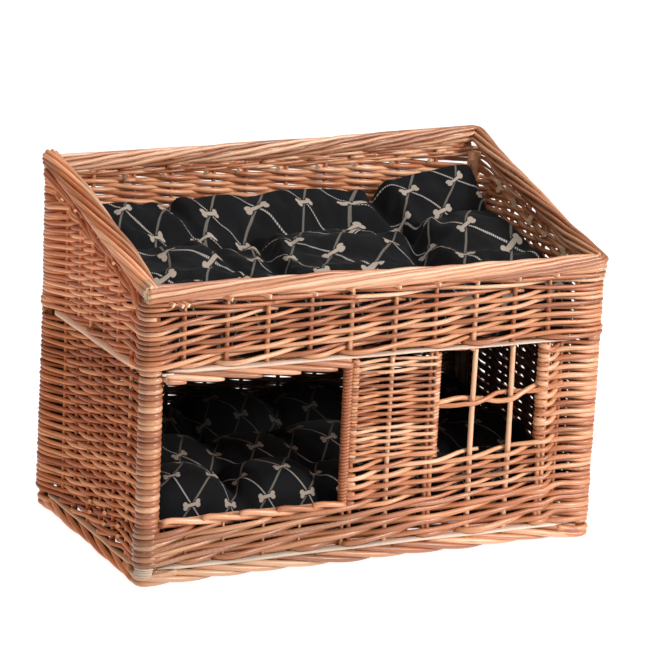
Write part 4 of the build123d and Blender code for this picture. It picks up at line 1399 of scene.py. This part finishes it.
CREASES = [
    ([(-156, 140), (-146, 112), (-132, 82)], 9, 7),
    ([(-206, 96), (-176, 86), (-146, 78)], 9, 7),
    ([(-240, 66), (-180, 70), (-128, 68), (-90, 62), (-60, 74), (-10, 84), (60, 84), (110, 76), (140, 62)], 9, 8),
    ([(-54, 66), (-62, 30), (-72, -20), (-78, -60)], 12, 6.5),
    ([(126, 142), (130, 112), (138, 84), (146, 48)], 14, 7.5),
    ([(146, 48), (134, 12), (128, -24), (134, -62)], 11, 8),
    ([(150, 58), (192, 72), (232, 74), (268, 72)], 9, 8),
    ([(-128, 60), (-124, 20), (-120, -30), (-112, -74)], 8, 8),
    ([(-262, -82), (-200, -84), (-120, -78), (-60, -84), (10, -88), (80, -84), (140, -70), (200, -88), (262, -84)], 10, 8),
    ([(-176, -84), (-182, -140)], 9, 9),
    ([(-66, -84), (-72, -140)], 9, 9),
    ([(70, -84), (76, -140)], 9, 9),
    ([(196, -84), (190, -140)], 9, 9),
]


def line_dist(x, y, pts):
    best = np.full(x.shape, 1e9)
    for (ax, ay), (bx, by) in zip(pts, pts[1:]):
        ex, ey = bx - ax, by - ay
        t = np.clip(((x - ax) * ex + (y - ay) * ey) / (ex * ex + ey * ey), 0, 1)
        best = np.minimum(best, np.hypot(x - ax - t * ex, y - ay - t * ey))
    return best


def press(h, x, y, creases):
    for line, deep, wide in creases:
        d = line_dist(x, y, line)
        h = h - deep * np.exp(-((d / wide) ** 2)) + 0.35 * deep * np.exp(-(((d - 2.6 * wide) / (1.4 * wide)) ** 2))
    return h


def spline(src, val, lam):
    n = len(src)
    d = np.linalg.norm(src[:, None] - src[None], axis=-1) / 100
    A = np.where(d > 0, d * d * np.log(np.maximum(d, 1e-9)), 0) + lam * np.eye(n)
    B = np.hstack([np.ones((n, 1)), src / 100])
    w = np.linalg.solve(np.block([[A, B], [B.T, np.zeros((3, 3))]]), np.vstack([val, np.zeros((3, val.shape[1]))]))
    def f(q):
        d_ = np.linalg.norm(q[:, None] - src[None], axis=-1) / 100
        A_ = np.where(d_ > 0, d_ * d_ * np.log(np.maximum(d_, 1e-9)), 0)
        return A_ @ w[:n] + np.hstack([np.ones((len(q), 1)), q / 100]) @ w[n:]
    return f


_folds = np.array(FOLDS, float)
_lie = spline(_folds[:, :2], _folds[:, 2:], 0.02)


def upper_height(x, y):
    return press(_lie(np.stack([x.ravel(), y.ravel()], -1))[:, 0].reshape(x.shape), x, y, CREASES)


# where crossings of the trellis lie on the upper cushion: x, y (mm), ribbed line number, dotted line number
KNOTS = [
    (-216, 112, 0, 0), (-157, 117, 1, 1), (-105, 101, 2, 2), (-39, 108, 3, 3), (24, 109, 4, 4), (83, 106, 5, 5), (-184, 87, 1, 0), (-131, 76, 2, 1), (-75, 74, 3, 2),
    (8, 72, 4, 3), (56, 70, 5, 4), (-198, 15, 1, -1), (-152, -12, 2, -1), (-116, 60, 2, 0), (-237, -74, 1, -2), (-87, 6, 3, 0), (-32, 13, 4, 2), (10, -8, 5, 2),
    (-37, -73, 5, 1), (28, -79, 6, 2), (78, 67, 5, 3), (105, 28, 6, 3), (125, -20, 7, 3), (142, -4, 7, 4), (171, 108, 6, 6), (235, 106, 7, 7), (147, 75, 6, 5),
    (206, 82, 7, 6), (241, 66, 8, 6), (194, 0, 8, 5), (250, -19, 9, 5), (165, -56, 8, 4), (166, 44, 7, 5),
]

_kn = np.array(KNOTS, float)
_kq = np.stack([(_kn[:, 2] + _kn[:, 3]) / 2, _kn[:, 3] - _kn[:, 2]], -1)
_aff = np.linalg.lstsq(np.hstack([np.ones((len(_kn), 1)), _kn[:, :2]]), _kq, rcond=None)[0]
_far = np.array([(-276, -145), (-140, -145), (0, -145), (140, -145), (276, -145), (-276, 145), (276, 145), (276, -60)], float)
_kall = np.vstack([_kn[:, :2], _far])
_qall = np.vstack([_kq, np.hstack([np.ones((len(_far), 1)), _far]) @ _aff])
_trellis = spline(_kall, _qall, 0.03)


def upper_cloth(x, y):
    q = _trellis(np.stack([x.ravel(), y.ravel()], -1))
    return q[:, 0].reshape(x.shape), q[:, 1].reshape(x.shape)


def lower_height(x, y):
    b = 78.0
    hs = [np.full_like(x, b + 4)]
    for cx, cy, a, b2, top in (
        (-222, -100, 60, 62, 117),
        (-104, -98, 60, 60, 112),
        (-8, -104, 58, 58, 102),
        (100, -100, 66, 62, 99),
        (215, -96, 74, 66, 99),
        (-210, -8, 86, 70, 122),
        (-98, -16, 74, 66, 117),
        (10, -6, 80, 70, 119),
        (120, -10, 84, 70, 113),
        (228, -10, 70, 72, 116),
        (-206, 112, 96, 82, 137),
        (-80, 114, 88, 82, 136),
        (46, 116, 92, 80, 132),
        (186, 112, 106, 80, 137),
    ):
        hs.append(dome(x, y, cx, cy, a, b2, top, b, 2.5, 2.4, 7 * math.sin(cx)))
    return soft_max(hs, 2.4)


def cushion(name, nodes_, body, z0, height, seam, creases, cloth, mat, hx=276.5, hy=145.5, R=28.0, cell=5.2, edge=(14.0, 20.0, 20.0), cap_=0.007):
    nx, ny = int(2 * hx / cell), int(2 * hy / cell)
    X, Y = np.meshgrid(np.linspace(-hx, hx, nx + 1), np.linspace(-hy, hy, ny + 1), indexing="ij")
    # corners of the outline are round
    cxp, cyp = hx - R, hy - R
    qa, qb = np.clip((np.abs(X) - cxp) / R, 0, 1), np.clip((np.abs(Y) - cyp) / R, 0, 1)
    inc = (qa > 0) & (qb > 0)
    Xn, Yn = X.copy(), Y.copy()
    Xn[inc] = (np.sign(X) * (cxp + R * qa * np.sqrt(1 - qb**2 / 2)))[inc]
    Yn[inc] = (np.sign(Y) * (cyp + R * qb * np.sqrt(1 - qa**2 / 2)))[inc]
    dist = np.minimum(hx - np.abs(X), hy - np.abs(Y))
    H = height(Xn, Yn)
    kx, ky = np.clip((hx - np.abs(X)) / edge[0], 0, 1), np.clip((hy - np.abs(Y)) / np.where(Y > 0, edge[2], edge[1]), 0, 1)
    ez = np.sqrt(1 - (1 - kx) ** 2) * np.sqrt(1 - (1 - ky) ** 2)
    top = seam + (H - seam) * ez
    kb = np.clip(dist / 16.0, 0, 1)
    low = seam - (seam - z0) * np.sqrt(1 - (1 - kb) ** 2)
    n = (nx + 1) * (ny + 1)
    idx = np.arange(n).reshape(nx + 1, ny + 1)
    rim = (dist <= 1e-6)
    bot = np.where(rim, idx, -1)
    free = ~rim
    bot[free] = n + np.arange(free.sum())
    v_top = np.stack([Xn, Yn, top], -1).reshape(-1, 3)
    v_bot = np.stack([Xn, Yn, low], -1)[free]
    co = np.concatenate([v_top, v_bot]) * 0.001
    f_top = np.stack([idx[:-1, :-1], idx[1:, :-1], idx[1:, 1:], idx[:-1, 1:]], -1).reshape(-1, 4)
    f_bot = np.stack([bot[:-1, :-1], bot[:-1, 1:], bot[1:, 1:], bot[1:, :-1]], -1).reshape(-1, 4)
    faces = np.concatenate([f_top, f_bot])
    # trellis coordinates; without a table of its own the cloth is measured along its surface, so folds don't stretch it
    if callable(cloth):
        U, V = cloth(Xn, Yn)
    else:
        P3 = np.stack([Xn, Yn, top], -1)
        du = np.linalg.norm(np.diff(P3, axis=0), axis=-1)
        dv = np.linalg.norm(np.diff(P3, axis=1), axis=-1)
        U = np.concatenate([np.zeros((1, ny + 1)), np.cumsum(du, 0)], 0)
        V = np.concatenate([np.zeros((nx + 1, 1)), np.cumsum(dv, 1)], 1)
        U -= U[nx // 2][None, :]
        ker = np.ones(9) / 9
        U = np.apply_along_axis(lambda r_: np.convolve(np.pad(r_, 4, mode="edge"), ker, mode="valid"), 1, U)
        V = np.apply_along_axis(lambda r_: np.convolve(np.pad(r_, 4, mode="edge"), ker, mode="valid"), 0, V)
        U, V = (U + cloth[0]) / 52.0, (V + cloth[1]) / 38.0
    uvt = np.stack([U, V], -1).reshape(-1, 2)
    uvb = np.stack([U + 0.3, V * 1.0 + 0.2], -1).reshape(-1, 2)
    me = bpy.data.meshes.new(name)
    me.from_pydata(co.tolist(), [], faces.tolist())
    lay = me.uv_layers.new(name="cloth")
    flat = np.concatenate([uvt[f_top.reshape(-1)], uvb[f_top[:, [0, 3, 2, 1]].reshape(-1)]])
    lay.data.foreach_set("uv", flat.astype(np.float32).ravel())
    ob = bpy.data.objects.new(name, me)
    bpy.context.scene.collection.objects.link(ob)
    # the cloth puffs out between the creases, which stay held, and wrinkles where it has cloth to spare
    grp = ob.vertex_groups.new(name="held")
    hx_, hy_ = np.gradient(H, cell)
    hold = np.clip((np.gradient(hx_, cell, axis=0) + np.gradient(hy_, cell, axis=1)) / 0.05, 0, 1)
    for line, deep, wide in creases:
        hold = np.maximum(hold, np.exp(-((line_dist(Xn, Yn, line) / wide) ** 2)))
    hold = hold.reshape(-1)
    w = np.concatenate([hold, np.full(free.sum(), 0.95)])
    for lvl in range(1, 11):
        ids = np.nonzero((w > (lvl - 1) / 10 + 1e-6) & (w <= lvl / 10 + 1e-6))[0].tolist()
        if ids:
            grp.add(ids, lvl / 10, "REPLACE")
    sc_ = bpy.context.scene
    md = ob.modifiers.new("cloth", "CLOTH")
    st = md.settings
    st.quality = 5
    st.mass = 0.25
    st.tension_stiffness = 14
    st.compression_stiffness = 10
    st.shear_stiffness = 6
    st.bending_stiffness = 0.25
    st.air_damping = 2.0
    st.use_pressure = True
    st.uniform_pressure_force = 3.0
    st.effector_weights.gravity = 0.0
    st.vertex_group_mass = "held"
    st.pin_stiffness = 1.5
    st.shrink_min = -0.045
    md.point_cache.frame_start, md.point_cache.frame_end = 1, 22
    for fno in range(1, 21):
        sc_.frame_set(fno)
    dg = bpy.context.evaluated_depsgraph_get()
    ev = ob.evaluated_get(dg)
    new = np.empty(len(me.vertices) * 3, np.float32)
    ev.to_mesh().vertices.foreach_get("co", new)
    ev.to_mesh_clear()
    new = new.reshape(-1, 3)
    old = co.astype(np.float32)
    d = new - old
    ln_ = np.linalg.norm(d, axis=1)
    d *= np.minimum(1, cap_ / np.maximum(ln_, 1e-9))[:, None]
    new = old + d
    # it rests on the floor under it and between the walls round it
    new[:, 2] = np.maximum(new[:, 2], z0 * 0.001)
    new[:, 0] = np.clip(new[:, 0], -0.2785, 0.2785)
    new[:, 1] = np.clip(new[:, 1], -0.1475, 0.1475)
    ob.modifiers.remove(md)
    sc_.frame_set(1)
    me.vertices.foreach_set("co", new.ravel())
    me.update()
    sub = ob.modifiers.new("sub", "SUBSURF")
    sub.levels = sub.render_levels = 1
    dg = bpy.context.evaluated_depsgraph_get()
    done = bpy.data.meshes.new_from_object(ob.evaluated_get(dg))
    ob.modifiers.clear()
    ob.data = done
    done.polygons.foreach_set("use_smooth", np.ones(len(done.polygons), bool))
    done.materials.clear()
    done.materials.append(mat)
    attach(ob, body)
    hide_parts(*nodes_)
    print("cushion", name, "moved mean", float(np.linalg.norm(d, axis=1).mean()), "max", float(ln_.max()))
    return ob


FAB = fabric("cushion_cotton")
# the den's cushion cloth, with painted shade towards the back
FAB_LOW = fabric("cushion_cotton_den_shaded", (-0.1, 0.02, 0.78))
cushion("upper_cushion_cover", ["upper_cushion"], "upper_cushion_body", 256.6, upper_height, 292.0, CREASES, upper_cloth, FAB)
cushion("lower_cushion_cover", ["lower_cushion"], "lower_cushion_body", 27.4, lower_height, 52.0, [], (0.0, 6.0), FAB_LOW, edge=(12.0, 20.0, 5.0))

# ------------------------------------------------------------------ floor, light, world
me = bpy.data.meshes.new("floor")
me.from_pydata([(-30, -30, -0.0006), (30, -30, -0.0006), (30, 30, -0.0006), (-30, 30, -0.0006)], [], [(0, 1, 2, 3)])
floor = bpy.data.objects.new("floor", me)
bpy.context.scene.collection.objects.link(floor)
fm = bpy.data.materials.new("floor")
fm.use_nodes = True
fb = fm.node_tree.nodes["Principled BSDF"]
fb.inputs["Base Color"].default_value = (0.5, 0.5, 0.5, 1)
fb.inputs["Emission Color"].default_value = (1.0, 1.0, 1.0, 1)
fb.inputs["Emission Strength"].default_value = 0.86
fb.inputs["Roughness"].default_value = 0.9
# painted light: the paper floor glows along the middle, as if lit from below, and glows less at the sides
fn = fm.node_tree
fco, fse = fn.nodes.new("ShaderNodeTexCoord"), fn.nodes.new("ShaderNodeSeparateXYZ")
fn.links.new(fco.outputs["Object"], fse.inputs[0])


def fmath(kind, *vals):
    nd = fn.nodes.new("ShaderNodeMath")
    nd.operation = kind
    for i_, x_ in enumerate(vals):
        if isinstance(x_, (int, float)):
            nd.inputs[i_].default_value = x_
        else:
            fn.links.new(x_, nd.inputs[i_])
    return nd.outputs[0]


along = fmath("ADD", fmath("MULTIPLY", fse.outputs[0], 0.4415), fmath("MULTIPLY", fse.outputs[1], 0.8973))
across = fmath("ABSOLUTE", fmath("SUBTRACT", fmath("MULTIPLY", fse.outputs[0], 0.8973), fmath("MULTIPLY", fse.outputs[1], 0.4415)))
wide_ = fmath("ADD", 0.62, fmath("MULTIPLY", fmath("MAXIMUM", along, 0.0), 0.13))
glow = fn.nodes.new("ShaderNodeMapRange")
glow.interpolation_type = "SMOOTHSTEP"
for i_, v_ in ((1, 0.0), (2, 0.6), (3, 0.87), (4, 0.15)):
    glow.inputs[i_].default_value = v_
fn.links.new(fmath("SUBTRACT", across, wide_), glow.inputs[0])
fn.links.new(glow.outputs[0], fb.inputs["Emission Strength"])
fb.inputs["Specular IOR Level"].default_value = 0.1
me.materials.append(fm)

world = bpy.data.worlds.new("studio")
bpy.context.scene.world = world
world.use_nodes = True
world.node_tree.nodes["Background"].inputs[0].default_value = (1.0, 1.0, 1.0, 1)
world.node_tree.nodes["Background"].inputs[1].default_value = 0.26


def area(name, pos, target, size, power, colour=(1, 1, 1)):
    d = bpy.data.lights.new(name, "AREA")
    d.energy = power
    d.size = size
    d.color = colour
    o = bpy.data.objects.new(name, d)
    bpy.context.scene.collection.objects.link(o)
    o.location = pos
    v = Vector(target) - Vector(pos)
    o.rotation_euler = v.to_track_quat("-Z", "Y").to_euler()
    return o


area("key", (2.3, -2.9, 1.9), (0, 0, 0.2), 1.0, 158)
area("top", (0.4, -0.3, 3.0), (0, 0, 0.2), 1.6, 38)
area("fill", (-2.2, -2.3, 2.5), (0, 0, 0.2), 1.6, 17)
